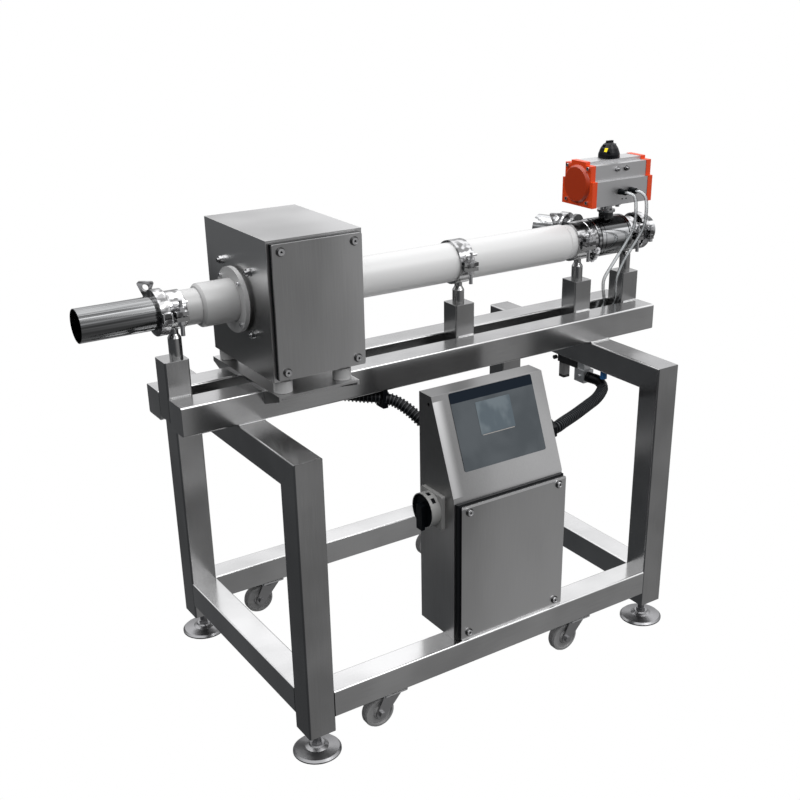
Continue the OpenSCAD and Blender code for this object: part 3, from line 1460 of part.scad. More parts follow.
leg_frames();
base_rails();
carriage_beams();
support_posts();
head_shell();
head_door();
door_gaskets();
socket_screws();
hex_bolts();
pipe_flanges();
detector_coils();
head_standoffs();
head_bracket();
product_pipe();
steel_spools();
pipe_seals();
clamp_upper_halves();
clamp_lower_halves();
clamp_bolts();
inlet_wing_nut();
reject_wing_nut();
support_saddles();
support_straps();
valve_body();
valve_end_caps();
valve_ball();
valve_stem();
valve_neck();
actuator_body();
actuator_caps();
left_piston();
right_piston();
pinion();
position_indicator();
air_fittings();
left_air_tube();
right_air_tube();
solenoid_valve();
junction_box();
left_conduit();
right_conduit();
console_body();
console_door();
membrane_panel();
isolator_base();
isolator_knob();
circuit_boards();
caster_plates();
front_left_fork();
front_right_fork();
rear_left_fork();
rear_right_fork();
front_left_wheel();
front_right_wheel();
rear_left_wheel();
rear_right_wheel();
front_left_foot();
front_right_foot();
rear_left_foot();
rear_right_foot();
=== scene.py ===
"""Photographic scene of a pipeline metal detector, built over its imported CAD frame."""

from __future__ import annotations

import json
import logging
import math
from dataclasses import dataclass
from enum import Enum
from itertools import product
from typing import Callable, Iterator, Sequence

import bmesh
import bpy
from mathutils import Matrix, Vector

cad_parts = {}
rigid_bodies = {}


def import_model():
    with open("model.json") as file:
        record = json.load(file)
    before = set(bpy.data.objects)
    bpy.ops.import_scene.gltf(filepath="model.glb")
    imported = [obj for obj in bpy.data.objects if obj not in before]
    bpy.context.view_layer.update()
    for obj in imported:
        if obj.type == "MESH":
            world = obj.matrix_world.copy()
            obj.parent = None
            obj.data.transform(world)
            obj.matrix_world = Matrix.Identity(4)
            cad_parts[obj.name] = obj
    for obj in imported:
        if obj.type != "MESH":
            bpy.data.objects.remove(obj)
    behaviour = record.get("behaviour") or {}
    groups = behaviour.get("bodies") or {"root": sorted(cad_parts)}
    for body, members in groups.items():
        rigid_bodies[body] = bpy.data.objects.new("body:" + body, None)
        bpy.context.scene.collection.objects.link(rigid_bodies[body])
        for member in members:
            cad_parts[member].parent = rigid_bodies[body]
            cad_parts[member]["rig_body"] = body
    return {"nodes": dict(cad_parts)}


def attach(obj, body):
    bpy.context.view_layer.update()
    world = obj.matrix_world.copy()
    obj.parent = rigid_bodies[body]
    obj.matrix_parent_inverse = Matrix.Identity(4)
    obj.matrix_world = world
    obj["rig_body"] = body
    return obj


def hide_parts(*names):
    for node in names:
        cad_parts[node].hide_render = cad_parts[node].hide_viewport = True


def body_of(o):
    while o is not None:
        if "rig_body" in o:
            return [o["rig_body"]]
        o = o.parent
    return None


LOG = logging.getLogger("pipeline_detector")
MM = 0.001

Colour = tuple[float, float, float]
Point = tuple[float, float, float]


@dataclass(frozen=True)
class PartSizes:
    """Sizes and places of the part's source that the patterns go by, in millimetres.

    Attributes:
        axis_z: Height of the pipe's axis.
        valve_x: Middle of the valve and its actuator.
        cap_face: From the valve's middle to the face of an end cap's flange.
        housing_x: Where the valve's barrel and what follows it begin.
        panel_y: Front edge of the operator panel.
        panel_z: Lower edge of the operator panel.
        panel_run: How far the sloping face goes back.
        panel_rise: How far the sloping face goes up.
        panel_top: Upper edge of the panel, along the slope.
        knob_y: Middle of the isolator, from front to rear.
        knob_z: Height of the isolator.
        cup_r: Radius inside the isolator's collar.
        head_left: Just inside the head's left side.
        door_y: Just behind the front of the head's door.
        console_y: Just behind the front of the console.
        lip_y: Just behind the front of the console's door.
        carriage_z: A height between the console and the head.
        standoff_z: Just over the stand-offs under the head.
        inlet_x: Where the inlet tube's part of the line ends.
        reject_x: A place between the head and the reject tube.
        reject_y: Behind the pipe's skin, where the reject tube begins.
        coil_z: Under the solenoid valve's manifold.
        coil_foot_z: Top of the coil's dark foot.
        fitting_y: Front of the manifold, where the blue fitting begins.
    """

    axis_z: float = 873.0
    valve_x: float = 562.0
    cap_face: float = 155 / 2 + 14 + 0.6
    housing_x: float = 517.0
    panel_y: float = -290.0
    panel_z: float = 470.0
    panel_run: float = 80.0
    panel_rise: float = 201.0
    panel_top: float = 214.3
    knob_y: float = -221.0
    knob_z: float = 432.0
    cup_r: float = 35.6
    head_left: float = -379.5
    door_y: float = -140.0
    console_y: float = -200.0
    lip_y: float = -299.5
    carriage_z: float = 700.0
    standoff_z: float = 742.0
    inlet_x: float = -400.0
    reject_x: float = 400.0
    reject_y: float = 36.0
    coil_z: float = 571.5
    coil_foot_z: float = 542.5
    fitting_y: float = -100.0


PART = PartSizes()


class Axis(Enum):
    """Direction of a brushed grain."""

    X = (0.04, 1.0, 1.0)
    Z = (1.0, 1.0, 0.04)


def tint(colour: Colour, factor: float) -> Colour:
    """Makes a colour darker or brighter, up to white."""
    return tuple(min(1.0, part * factor) for part in colour)


@dataclass(frozen=True)
class Signal:
    """An output socket that does arithmetic by adding nodes to its graph.

    Attributes:
        graph: The graph that it belongs to.
        socket: The socket.
    """

    graph: "ShaderGraph"
    socket: bpy.types.NodeSocket

    def _math(self, operation: str, other: "Signal | float" = 0.0) -> "Signal":
        """Puts this signal and another one through a Math node."""
        node = self.graph.node("ShaderNodeMath", {"operation": operation}, {0: self, 1: other})
        return Signal(self.graph, node.outputs[0])

    def __add__(self, other: "Signal | float") -> "Signal":
        """Adds a signal or a number."""
        return self._math("ADD", other)

    def __sub__(self, other: "Signal | float") -> "Signal":
        """Takes a signal or a number away."""
        return self._math("SUBTRACT", other)

    def __mul__(self, other: "Signal | float") -> "Signal":
        """Multiplies by a signal or a number."""
        return self._math("MULTIPLY", other)

    def __radd__(self, other: float) -> "Signal":
        """Adds this signal to a number."""
        return self + other

    def __rsub__(self, other: float) -> "Signal":
        """Takes this signal away from a number."""
        return self * -1.0 + other

    def __rmul__(self, other: float) -> "Signal":
        """Multiplies a number by this signal."""
        return self * other

    def __abs__(self) -> "Signal":
        """Drops the sign."""
        return self._math("ABSOLUTE")

    def above(self, edge: float) -> "Signal":
        """Returns 1 where the signal is over the edge and 0 elsewhere."""
        return self._math("GREATER_THAN", edge)

    def below(self, edge: float) -> "Signal":
        """Returns 1 where the signal is not over the edge and 0 elsewhere."""
        return 1.0 - self.above(edge)

    def between(self, low: float, high: float) -> "Signal":
        """Returns 1 from low to high and 0 elsewhere."""
        return self.above(low) * self.below(high)

    def blend(self, low: "Signal", high: "Signal") -> "Signal":
        """Goes from one signal to another as this one goes from 0 to 1."""
        return low * (1.0 - self) + high * self

    def ramp(self, low: float, high: float, to_low: float = 0.0, to_high: float = 1.0) -> "Signal":
        """Maps a range smoothly onto another one and clamps it.

        Args:
            low: Where the output starts to move.
            high: Where it stops.
            to_low: Output at and below low.
            to_high: Output at and above high.

        Returns:
            The mapped signal.
        """
        node = self.graph.node("ShaderNodeMapRange", {"interpolation_type": "SMOOTHSTEP"}, {
            "Value": self, "From Min": low, "From Max": high, "To Min": to_low, "To Max": to_high})
        return Signal(self.graph, node.outputs["Result"])

    def band(self, start: float, full: float, fading: float, end: float) -> "Signal":
        """Rises from 0 to 1 between the first two edges and falls again between the last two."""
        return self.ramp(start, full) * (1.0 - self.ramp(fading, end))

    def mix(self, first: "Colour | Signal", second: "Colour | Signal") -> "Signal":
        """Blends two colours by this signal.

        Args:
            first: Colour where the signal is 0.
            second: Colour where it is 1.

        Returns:
            The blended colour.
        """
        low, high = (end if isinstance(end, Signal) else (*end, 1.0) for end in (first, second))
        node = self.graph.node("ShaderNodeMix", {"data_type": "RGBA"}, {"Factor": self, 6: low, 7: high})
        return Signal(self.graph, node.outputs[2])


class ShaderGraph:
    """Makes the nodes of one tree, whose signals are in Object coordinates."""

    def __init__(self, tree: bpy.types.NodeTree) -> None:
        """Takes over a node tree."""
        self.tree = tree
        self.position = self.node("ShaderNodeTexCoord", {}, {}).outputs["Object"]

    def node(self, kind: str, settings: dict[str, object], inputs: dict[object, object]) -> bpy.types.Node:
        """Adds a node.

        Args:
            kind: Type of the node.
            settings: Attributes, which are set first.
            inputs: Values, signals or sockets for its inputs, by name or number.

        Returns:
            The new node.
        """
        made = self.tree.nodes.new(kind)
        for key, value in settings.items():
            setattr(made, key, value)
        for key, value in inputs.items():
            source = value.socket if isinstance(value, Signal) else value
            if isinstance(source, bpy.types.NodeSocket):
                self.tree.links.new(source, made.inputs[key])
            else:
                made.inputs[key].default_value = source
        return made

    def component(self, axis: str) -> Signal:
        """Returns one component of the shaded point, or of the direction in a world."""
        node = self.node("ShaderNodeSeparateXYZ", {}, {0: self.position})
        return Signal(self, node.outputs[axis])

    def place(self, axis: str) -> Signal:
        """Returns one coordinate of the shaded point, in millimetres."""
        return self.component(axis) * (1 / MM)

    def noise(self, scale: float, stretch: Sequence[float] = (1, 1, 1), detail: float = 2.0) -> Signal:
        """Adds a noise texture.

        Args:
            scale: Features per metre.
            stretch: Extra factor along each axis.
            detail: Octaves.

        Returns:
            The noise, about 0 to 1.
        """
        mapping = self.node("ShaderNodeMapping", {}, {"Scale": [scale * s for s in stretch],
                                                      "Vector": self.position})
        node = self.node("ShaderNodeTexNoise", {}, {"Scale": 1.0, "Detail": detail,
                                                    "Vector": mapping.outputs[0]})
        return Signal(self, node.outputs[0])


Pattern = Callable[[ShaderGraph, Colour], Signal]


def streaks(graph: ShaderGraph, colour: Colour) -> Signal:
    """Painted reflections on a polished tube that lies level: long bright and dark bands.

    Args:
        graph: Graph of the finish.
        colour: The finish's own colour.

    Returns:
        The base colour.
    """
    along = graph.place("X")
    height = graph.place("Z") - PART.axis_z
    reject = graph.place("Y").above(PART.reject_y) * along.above(PART.reject_x)
    bands = reject.blend(graph.noise(95.0, (0.02, 1.0, 1.0), 1.5), graph.noise(95.0, (1.0, 0.05, 1.0), 1.5))
    fine = graph.noise(420.0, (0.01, 1.0, 1.0)).ramp(0.3, 0.75)
    sky = height.band(10.8, 12.2, 16.5, 19.0)
    floor = height.band(-20.0, -16.5, -7.5, -4.5)
    tube = (bands.ramp(0.40, 0.60) * 0.7 + fine * 0.3) * (1.0 - sky * 0.8) * (1.0 - floor * 0.7) * 0.85
    # Painted highlight along the valve's barrel, and a painted darker reflection over its top.
    shine = height.band(-4.0, 2.0, 21.0, 24.0)
    barrel = (tube * 0.7 + shine * 0.75) * (1.0 - height.ramp(22, 26) * 0.85)
    lit = along.above(PART.housing_x).blend(tube, barrel)
    # Painted shade on the inlet tube, whose reflections are painted darker.
    inlet = along.below(PART.inlet_x)
    return (lit * (1.0 - inlet * 0.28)).mix(tint(colour, 0.14), tint(colour, 1.5))


def chrome(graph: ShaderGraph, colour: Colour) -> Signal:
    """Painted reflections: a patchwork of bright and dark patches on a small polished casting."""
    patches = graph.noise(60.0, (1.0, 1.0, 1.5), 1.0).ramp(0.42, 0.58)
    return patches.mix(tint(colour, 0.36), tint(colour, 1.15))


def shaded_plastic(graph: ShaderGraph, colour: Colour) -> Signal:
    """White plastic with painted shade: darker towards the inlet and on the stand-offs, and painted lighter
    low on the pipe than at its top.

    Args:
        graph: Graph of the finish.
        colour: The finish's own colour.

    Returns:
        The base colour.
    """
    height = graph.place("Z")
    pipe = graph.place("X").ramp(PART.inlet_x, PART.inlet_x + 40)
    pipe = pipe * height.ramp(PART.standoff_z, PART.standoff_z + 4)
    # Painted light: lighter below the pipe's axis and darker above it.
    lit = (height - PART.axis_z).ramp(-30, 36).mix(tint(colour, 1.35), tint(colour, 0.84))
    return pipe.mix(tint(colour, 0.66), lit)


def panel(graph: ShaderGraph, colour: Colour) -> Signal:
    """The operator panel: a dark head strip, a grey field and a paler window with painted reflections and a
    painted highlight along its lower rim.

    Args:
        graph: Graph of the finish.
        colour: The finish's own colour, which the panel doesn't show.

    Returns:
        The base colour.
    """
    slope = math.atan2(PART.panel_rise, PART.panel_run)
    back = (graph.place("Y") - PART.panel_y) * math.cos(slope)
    down = PART.panel_top - (back + (graph.place("Z") - PART.panel_z) * math.sin(slope))
    across = graph.place("X")
    field = graph.noise(14.0).ramp(0.35, 0.65).mix((0.054, 0.062, 0.068), (0.070, 0.079, 0.086))
    # The window's own bluish tone, with painted reflections from the noise.
    glass_tone_and_reflections = graph.noise(30.0, (1, 0.6, 0.6)).ramp(0.4, 0.62).mix((0.075, 0.094, 0.108), (0.115, 0.138, 0.152))
    shade = down.below(22).mix(field, (0.003, 0.007, 0.013))
    window = down.between(30, 98) * across.between(20, 108)
    # Painted highlight along the window's lower edge.
    rim = down.between(98, 99.6) * across.between(24, 106)
    return rim.mix(window.mix(shade, glass_tone_and_reflections), (0.34, 0.32, 0.30))


def sheen(graph: ShaderGraph, colour: Colour) -> Signal:
    """Brushed sheet with painted light: brightness that drifts over the head and the console, painted broad
    reflections, and painted highlights on two edges.

    Args:
        graph: Graph of the finish.
        colour: The finish's own colour.

    Returns:
        The base colour.
    """
    across, depth, height = (graph.place(axis) for axis in "XYZ")
    # Painted light: the head is lighter to the right and lower down, its door is painted darker, and its left
    # side is lighter at the top than at the bottom.
    head = (across + 380) * 0.0011 - (height - 1000) * 0.0008 - depth.below(PART.door_y) * 0.16
    head = across.below(PART.head_left).blend(head, height.ramp(800, 1000, -0.55, 0.75))
    # Painted light: the console is lighter to the right and lower down.
    console = (across + 80) * 0.0007 - (height - 450) * 0.001
    light_drift = height.below(PART.carriage_z).blend(head, console)
    # Painted broad reflections; the fine grain below is the real brushing.
    cloud = graph.noise(4.0, (1.0, 1.0, 0.5)).ramp(0.3, 0.7)
    grain = graph.noise(500.0, (1.0, 1.0, 0.03))
    shade = cloud * 0.35 + grain * 0.15 + light_drift * 1.1
    sheet = shade.ramp(-0.35, 1.0).mix(tint(colour, 0.45), tint(colour, 1.4))
    # Painted highlights on the rounded fold at the left of the console's slope and on the top lip of the
    # console's door.
    fold_highlight = (1.0 - across.ramp(-72, -50)) * across.above(-78.5)
    fold_highlight = fold_highlight * height.between(475, 660) * depth.below(PART.console_y)
    lip_highlight = height.between(452.5, 459) * depth.below(PART.lip_y)
    return (lip_highlight * 0.8 + fold_highlight * 0.6).mix(sheet, (0.95, 0.95, 0.95))


def wall(graph: ShaderGraph, colour: Colour) -> Signal:
    """Painted light on a clear tube: a painted highlight down the middle and painted shade along the edges,
    by the angle to the view.
    """
    facing = Signal(graph, graph.node("ShaderNodeLayerWeight", {}, {"Blend": 0.5}).outputs["Facing"])
    return facing.ramp(0.08, 0.36).mix(tint(colour, 1.45), tint(colour, 0.07))


def cup(graph: ShaderGraph, colour: Colour) -> Signal:
    """The isolator's collar, black inside its rim.

    Args:
        graph: Graph of the finish.
        colour: Colour of the rim.

    Returns:
        The base colour.
    """
    across = graph.place("Y") - PART.knob_y
    up = graph.place("Z") - PART.knob_z
    inside = (across * across + up * up).below(PART.cup_r ** 2)
    return inside.mix(colour, (0.004, 0.005, 0.006))


def domes(graph: ShaderGraph, colour: Colour) -> Signal:
    """The end caps, with painted shade that makes the round cover darker than the flange."""
    shaded_cover = abs(graph.place("X") - PART.valve_x).above(PART.cap_face)
    return shaded_cover.mix(colour, tint(colour, 0.55))


def yellow_mark(graph: ShaderGraph, colour: Colour) -> Signal:
    """The pointer's yellow mark."""
    mark = graph.place("X").between(540.5, 548) * graph.place("Y").between(-8.5, -2)
    return (mark * graph.place("Z").between(1068.5, 1076.5)).mix(colour, (0.75, 0.62, 0.02))


def solenoid(graph: ShaderGraph, colour: Colour) -> Signal:
    """Black manifold, grey coil with a dark foot, and a blue fitting.

    Args:
        graph: Graph of the finish.
        colour: Colour of the manifold.

    Returns:
        The base colour.
    """
    height, depth = graph.place("Z"), graph.place("Y")
    coil = height.below(PART.coil_z) * depth.above(0)
    shade = coil.mix(colour, height.below(PART.coil_foot_z).mix((0.20, 0.20, 0.20), (0.02, 0.02, 0.02)))
    return depth.below(PART.fitting_y).mix(shade, (0.015, 0.11, 0.30))


@dataclass(frozen=True)
class Finish:
    """What a surface looks like.

    Attributes:
        colour: Linear base colour.
        roughness: Mean roughness.
        metallic: 1 for bare metal.
        coat: Weight of a clear coat.
        specular: Strength of a dielectric's reflection.
        grain: Direction of the brushing.
        grain_depth: How far the grain moves roughness and colour.
        mottle_and_sheen: How far a broad noise moves the colour.
        alpha: Opacity.
        pattern: Draws the base colour where it isn't plain.
        slot: Name of the record's material, which is not used.
    """

    colour: Colour
    roughness: float
    metallic: float = 0.0
    coat: float = 0.0
    specular: float = 0.5
    grain: Axis = Axis.X
    grain_depth: float = 0.0
    mottle_and_sheen: float = 0.0
    alpha: float = 1.0
    pattern: "Pattern | None" = None
    slot: str = ""

    def _colour(self, graph: ShaderGraph) -> "Signal | None":
        """Draws the base colour.

        Args:
            graph: Graph of the material.

        Returns:
            The colour's signal, or None for a plain colour.
        """
        if self.pattern:
            return self.pattern(graph, self.colour)
        if not self.mottle_and_sheen and not self.grain_depth:
            return None
        # The broad noise is random tone, and on the steels also painted broad reflections.
        cloud = graph.noise(6.0)
        if self.grain_depth:
            cloud = cloud * 0.85 + graph.noise(500.0, self.grain.value) * 0.15
        depth = self.mottle_and_sheen + self.grain_depth * 0.8
        return cloud.ramp(0.3, 0.7).mix(tint(self.colour, 1 - depth), tint(self.colour, 1 + depth))

    def build(self, name: str) -> bpy.types.Material:
        """Makes the material.

        Args:
            name: Name of the material.

        Returns:
            The new material.
        """
        material = bpy.data.materials.new(name)
        material.use_nodes = True
        links = material.node_tree.links
        sockets = material.node_tree.nodes["Principled BSDF"].inputs
        for socket, value in (("Base Color", (*self.colour, 1.0)), ("Roughness", self.roughness),
                              ("Metallic", self.metallic), ("Coat Weight", self.coat),
                              ("Specular IOR Level", self.specular), ("Alpha", self.alpha)):
            sockets[socket].default_value = value
        graph = ShaderGraph(material.node_tree)
        colour = self._colour(graph)
        if colour:
            links.new(colour.socket, sockets["Base Color"])
        if self.grain_depth:
            grain = graph.noise(400.0, self.grain.value)
            rough = grain * (2 * self.grain_depth) + (self.roughness - self.grain_depth)
            links.new(rough.socket, sockets["Roughness"])
        return material


FINISHES: dict[str, Finish] = {
    "satin_steel": Finish((0.49, 0.49, 0.49), 0.2, 1.0, grain=Axis.X, grain_depth=0.008, mottle_and_sheen=0.13,
                          slot="satin_steel"),
    # The uprights get a darker copy of the satin steel: painted shade on the vertical tubes.
    "satin_upright": Finish((0.38, 0.38, 0.38), 0.21, 1.0, grain=Axis.Z, grain_depth=0.008, mottle_and_sheen=0.16,
                            slot="satin_steel"),
    "case_steel": Finish((0.455, 0.455, 0.455), 0.31, 1.0, grain=Axis.Z, grain_depth=0.01, pattern=sheen,
                         slot="satin_steel"),
    "polished": Finish((0.40, 0.405, 0.41), 0.12, 1.0, pattern=streaks, slot="polished_steel"),
    "bright_screw": Finish((0.66, 0.66, 0.67), 0.2, 1.0, slot="polished_steel"),
    "rod_steel": Finish((0.42, 0.42, 0.42), 0.2, 1.0, mottle_and_sheen=0.15, slot="cast_steel"),
    "dark_steel": Finish((0.10, 0.10, 0.10), 0.3, 1.0, slot="dark_metal"),
    "foot_steel": Finish((0.22, 0.22, 0.225), 0.3, 1.0, mottle_and_sheen=0.1, slot="polished_steel"),
    "blasted": Finish((0.34, 0.34, 0.345), 0.3, 1.0, mottle_and_sheen=0.12, slot="cast_steel"),
    "chromed": Finish((0.40, 0.40, 0.405), 0.16, 1.0, pattern=chrome, slot="cast_steel"),
    "acetal": Finish((0.47, 0.47, 0.468), 0.34, pattern=shaded_plastic, slot="white_plastic"),
    "rubber": Finish((0.002, 0.0025, 0.0035), 0.35, specular=0.12, slot="black_rubber"),
    # The ribs are a lighter copy of the rubber: painted highlight on the ribs.
    "rubber_rib": Finish((0.026, 0.028, 0.031), 0.35, specular=0.3, slot="black_rubber"),
    "black_plastic": Finish((0.003, 0.004, 0.005), 0.35, specular=0.06, slot="black_plastic"),
    "clear_tube": Finish((0.52, 0.54, 0.55), 0.06, coat=1.0, alpha=0.6, pattern=wall, slot="clear_plastic"),
    "wheel": Finish((0.22, 0.22, 0.22), 0.45, slot="wheel_grey"),
    "anodised": Finish((0.52, 0.52, 0.525), 0.40, 1.0, grain=Axis.X, grain_depth=0.03, slot="anodised"),
    "orange": Finish((0.55, 0.045, 0.004), 0.32, specular=0.45, pattern=domes, slot="orange"),
    "indicator": Finish((0.003, 0.0035, 0.0045), 0.25, specular=0.15, pattern=yellow_mark,
                        slot="black_rubber"),
    "solenoid": Finish((0.012, 0.013, 0.014), 0.35, pattern=solenoid, slot="dark_metal"),
    "zinc": Finish((0.60, 0.61, 0.62), 0.35, 0.9, mottle_and_sheen=0.12, slot="dark_metal"),
    "grey_plastic": Finish((0.22, 0.22, 0.215), 0.4, specular=0.3, pattern=cup, slot="black_plastic"),
    "weld": Finish((0.66, 0.66, 0.66), 0.22, 1.0, mottle_and_sheen=0.2, slot="satin_steel"),
    "membrane": Finish((0.045, 0.055, 0.062), 0.34, specular=0.1, pattern=panel, slot="membrane"),
    "copper": Finish((0.45, 0.16, 0.06), 0.35, 1.0, slot="copper"),
    "board": Finish((0.01, 0.1, 0.03), 0.4, slot="board"),
    "machined": Finish((0.55, 0.56, 0.58), 0.25, 1.0, slot="machined"),
}

NODE_FINISH: dict[str, str] = {
    "leg_frames": "satin_upright", "base_rails": "satin_steel", "carriage_beams": "satin_steel",
    "support_posts": "satin_upright", "head_shell": "case_steel", "head_door": "case_steel",
    "door_gaskets": "rubber", "socket_screws": "bright_screw", "hex_bolts": "chromed",
    "pipe_flanges": "acetal", "detector_coils": "copper", "head_standoffs": "acetal",
    "head_bracket": "case_steel", "product_pipe": "acetal", "steel_spools": "polished",
    "pipe_seals": "rubber", "clamp_upper_halves": "chromed", "clamp_lower_halves": "chromed",
    "clamp_bolts": "bright_screw", "inlet_wing_nut": "chromed", "reject_wing_nut": "chromed",
    "support_saddles": "rod_steel", "support_straps": "chromed", "valve_body": "polished",
    "valve_end_caps": "polished", "valve_ball": "polished", "valve_stem": "bright_screw",
    "valve_neck": "chromed", "actuator_body": "anodised", "actuator_caps": "orange",
    "left_piston": "machined", "right_piston": "machined", "pinion": "machined",
    "position_indicator": "indicator", "air_fittings": "black_plastic",
    "left_air_tube": "clear_tube", "right_air_tube": "clear_tube", "solenoid_valve": "solenoid",
    "junction_box": "zinc", "left_conduit": "rubber", "right_conduit": "rubber",
    "console_body": "case_steel", "console_door": "case_steel", "membrane_panel": "membrane",
    "isolator_base": "grey_plastic", "isolator_knob": "black_plastic", "circuit_boards": "board",
    "caster_plates": "bright_screw",
}
for _corner in ("front_left", "front_right", "rear_left", "rear_right"):
    NODE_FINISH[f"{_corner}_fork"] = "blasted"
    NODE_FINISH[f"{_corner}_wheel"] = "wheel"
    NODE_FINISH[f"{_corner}_foot"] = "foot_steel"


class Shape:
    """A mesh under construction, in millimetres of the part's frame."""

    SMOOTH = 35.0
    MERGE = 0.004
    FLAT = 0.6

    def __init__(self) -> None:
        """Starts with an empty mesh."""
        self.mesh = bmesh.new()

    @classmethod
    def copy_of(cls, node: bpy.types.Object) -> "Shape":
        """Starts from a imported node, with its loose triangles merged into flat faces.

        Args:
            node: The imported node.

        Returns:
            The copy.
        """
        shape = cls()
        shape.mesh.from_mesh(node.data)
        bmesh.ops.scale(shape.mesh, vec=(1 / MM,) * 3, verts=shape.mesh.verts)
        bmesh.ops.remove_doubles(shape.mesh, verts=shape.mesh.verts, dist=cls.MERGE)
        bmesh.ops.dissolve_limit(shape.mesh, angle_limit=math.radians(cls.FLAT), verts=shape.mesh.verts,
                                 edges=shape.mesh.edges)
        return shape

    def _round(self, edges: Sequence[bmesh.types.BMEdge], width: float) -> None:
        """Bevels some edges of the mesh."""
        bmesh.ops.bevel(self.mesh, geom=list(edges), offset=width, offset_type="OFFSET", segments=2,
                        profile=0.5, affect="EDGES", clamp_overlap=True, material=-1)

    def soften(self, width: float, from_angle: float) -> "Shape":
        """Rounds the sharp edges.

        Args:
            width: Width of the bevel.
            from_angle: Edges that turn by less, in degrees, are left.

        Returns:
            The shape itself.
        """
        limit = math.radians(from_angle)
        self._round([e for e in self.mesh.edges if len(e.link_faces) == 2 and e.calc_face_angle(0.0) > limit],
                    width)
        return self

    def block(self, low: Point, high: Point, radius: float) -> "Shape":
        """Adds a box with rounded edges.

        Args:
            low: Its lowest corner.
            high: Its highest corner.
            radius: Radius of its edges.

        Returns:
            The shape itself.
        """
        size = [h - l for l, h in zip(low, high)]
        centre = [(l + h) / 2 for l, h in zip(low, high)]
        matrix = Matrix.Translation(centre) @ Matrix.Diagonal((*size, 1.0))
        made = bmesh.ops.create_cube(self.mesh, size=1.0, matrix=matrix)
        self._round(list({e for v in made["verts"] for e in v.link_edges}), radius)
        return self

    @staticmethod
    def _stand(centre: Point, way: Point) -> Matrix:
        """Returns the frame that stands at a point, with its Z axis along a direction."""
        turn = Vector(way).normalized().to_track_quat("Z", "Y").to_matrix().to_4x4()
        return Matrix.Translation(centre) @ turn

    def disc(self, centre: Point, way: Point, radius: float, length: float, sides: int = 24,
             top: "float | None" = None) -> "Shape":
        """Adds a cylinder or a cone.

        Args:
            centre: Centre of the end that it stands on.
            way: Where it points.
            radius: Radius of that end.
            length: Its length.
            sides: Faces round it.
            top: Radius of the far end, if it differs.

        Returns:
            The shape itself.
        """
        place = self._stand(centre, way) @ Matrix.Translation((0, 0, length / 2))
        bmesh.ops.create_cone(self.mesh, cap_ends=True, segments=sides, radius1=radius,
                              radius2=radius if top is None else top, depth=length, matrix=place)
        return self

    def _extrude(self, edges: Sequence[bmesh.types.BMEdge],
                 step: Matrix) -> "tuple[list[bmesh.types.BMVert], list[bmesh.types.BMEdge]]":
        """Extrudes a loop of edges and moves the new one.

        Args:
            edges: The loop.
            step: How the new loop moves.

        Returns:
            The new loop's vertices and edges.
        """
        made = bmesh.ops.extrude_edge_only(self.mesh, edges=edges)["geom"]
        verts = [g for g in made if isinstance(g, bmesh.types.BMVert)]
        bmesh.ops.transform(self.mesh, matrix=step, verts=verts)
        return verts, [g for g in made if isinstance(g, bmesh.types.BMEdge)]

    def ring(self, centre: Point, way: Point, inner: float, outer: float, length: float) -> "Shape":
        """Adds a flat ring, such as a washer.

        Args:
            centre: Centre of the face that it stands on.
            way: Where it points.
            inner: Radius of the hole.
            outer: Radius of the rim.
            length: Its thickness.

        Returns:
            The shape itself.
        """
        frame = self._stand(centre, way)
        circle = bmesh.ops.create_circle(self.mesh, cap_ends=False, segments=24, radius=inner, matrix=frame)
        made, last_radius, last_level = list(circle["verts"]), inner, 0.0
        edges = [e for e in self.mesh.edges if e.verts[0] in made and e.verts[1] in made]
        for radius, level in ((outer, 0.0), (outer, length), (inner, length), (inner, 0.0)):
            growth = Matrix.Diagonal((radius / last_radius, radius / last_radius, 1.0, 1.0))
            step = Matrix.Translation((0, 0, level - last_level)) @ growth
            verts, edges = self._extrude(edges, frame @ step @ frame.inverted())
            made, last_radius, last_level = made + verts, radius, level
        bmesh.ops.remove_doubles(self.mesh, verts=made, dist=0.001)
        return self

    def sweep(self, path: Sequence[Point], radii: Sequence[float], sides: int) -> "Shape":
        """Draws a tube along a path by extruding one ring.

        Args:
            path: Points of the centre line.
            radii: Radius at each of them.
            sides: Faces round the tube.

        Returns:
            The shape itself.
        """
        points = [Vector(p) for p in path]
        ways = [(points[min(i + 1, len(points) - 1)] - points[max(i - 1, 0)]).normalized()
                for i in range(len(points))]
        turn = ways[0].to_track_quat("Z", "Y")
        ring = bmesh.ops.create_circle(self.mesh, cap_ends=True, segments=sides, radius=1.0)["verts"]
        frame = Matrix.Translation(points[0]) @ turn.to_matrix().to_4x4()
        bmesh.ops.transform(self.mesh, matrix=frame @ Matrix.Scale(radii[0], 4), verts=ring)
        edges = [e for e in self.mesh.edges if e.verts[0] in ring and e.verts[1] in ring]
        for index in range(1, len(points)):
            turn = ways[index - 1].rotation_difference(ways[index]) @ turn
            last = frame @ Matrix.Scale(radii[index - 1], 4)
            frame = Matrix.Translation(points[index]) @ turn.to_matrix().to_4x4()
            _, edges = self._extrude(edges, frame @ Matrix.Scale(radii[index], 4) @ last.inverted())
        bmesh.ops.contextual_create(self.mesh, geom=edges)
        return self

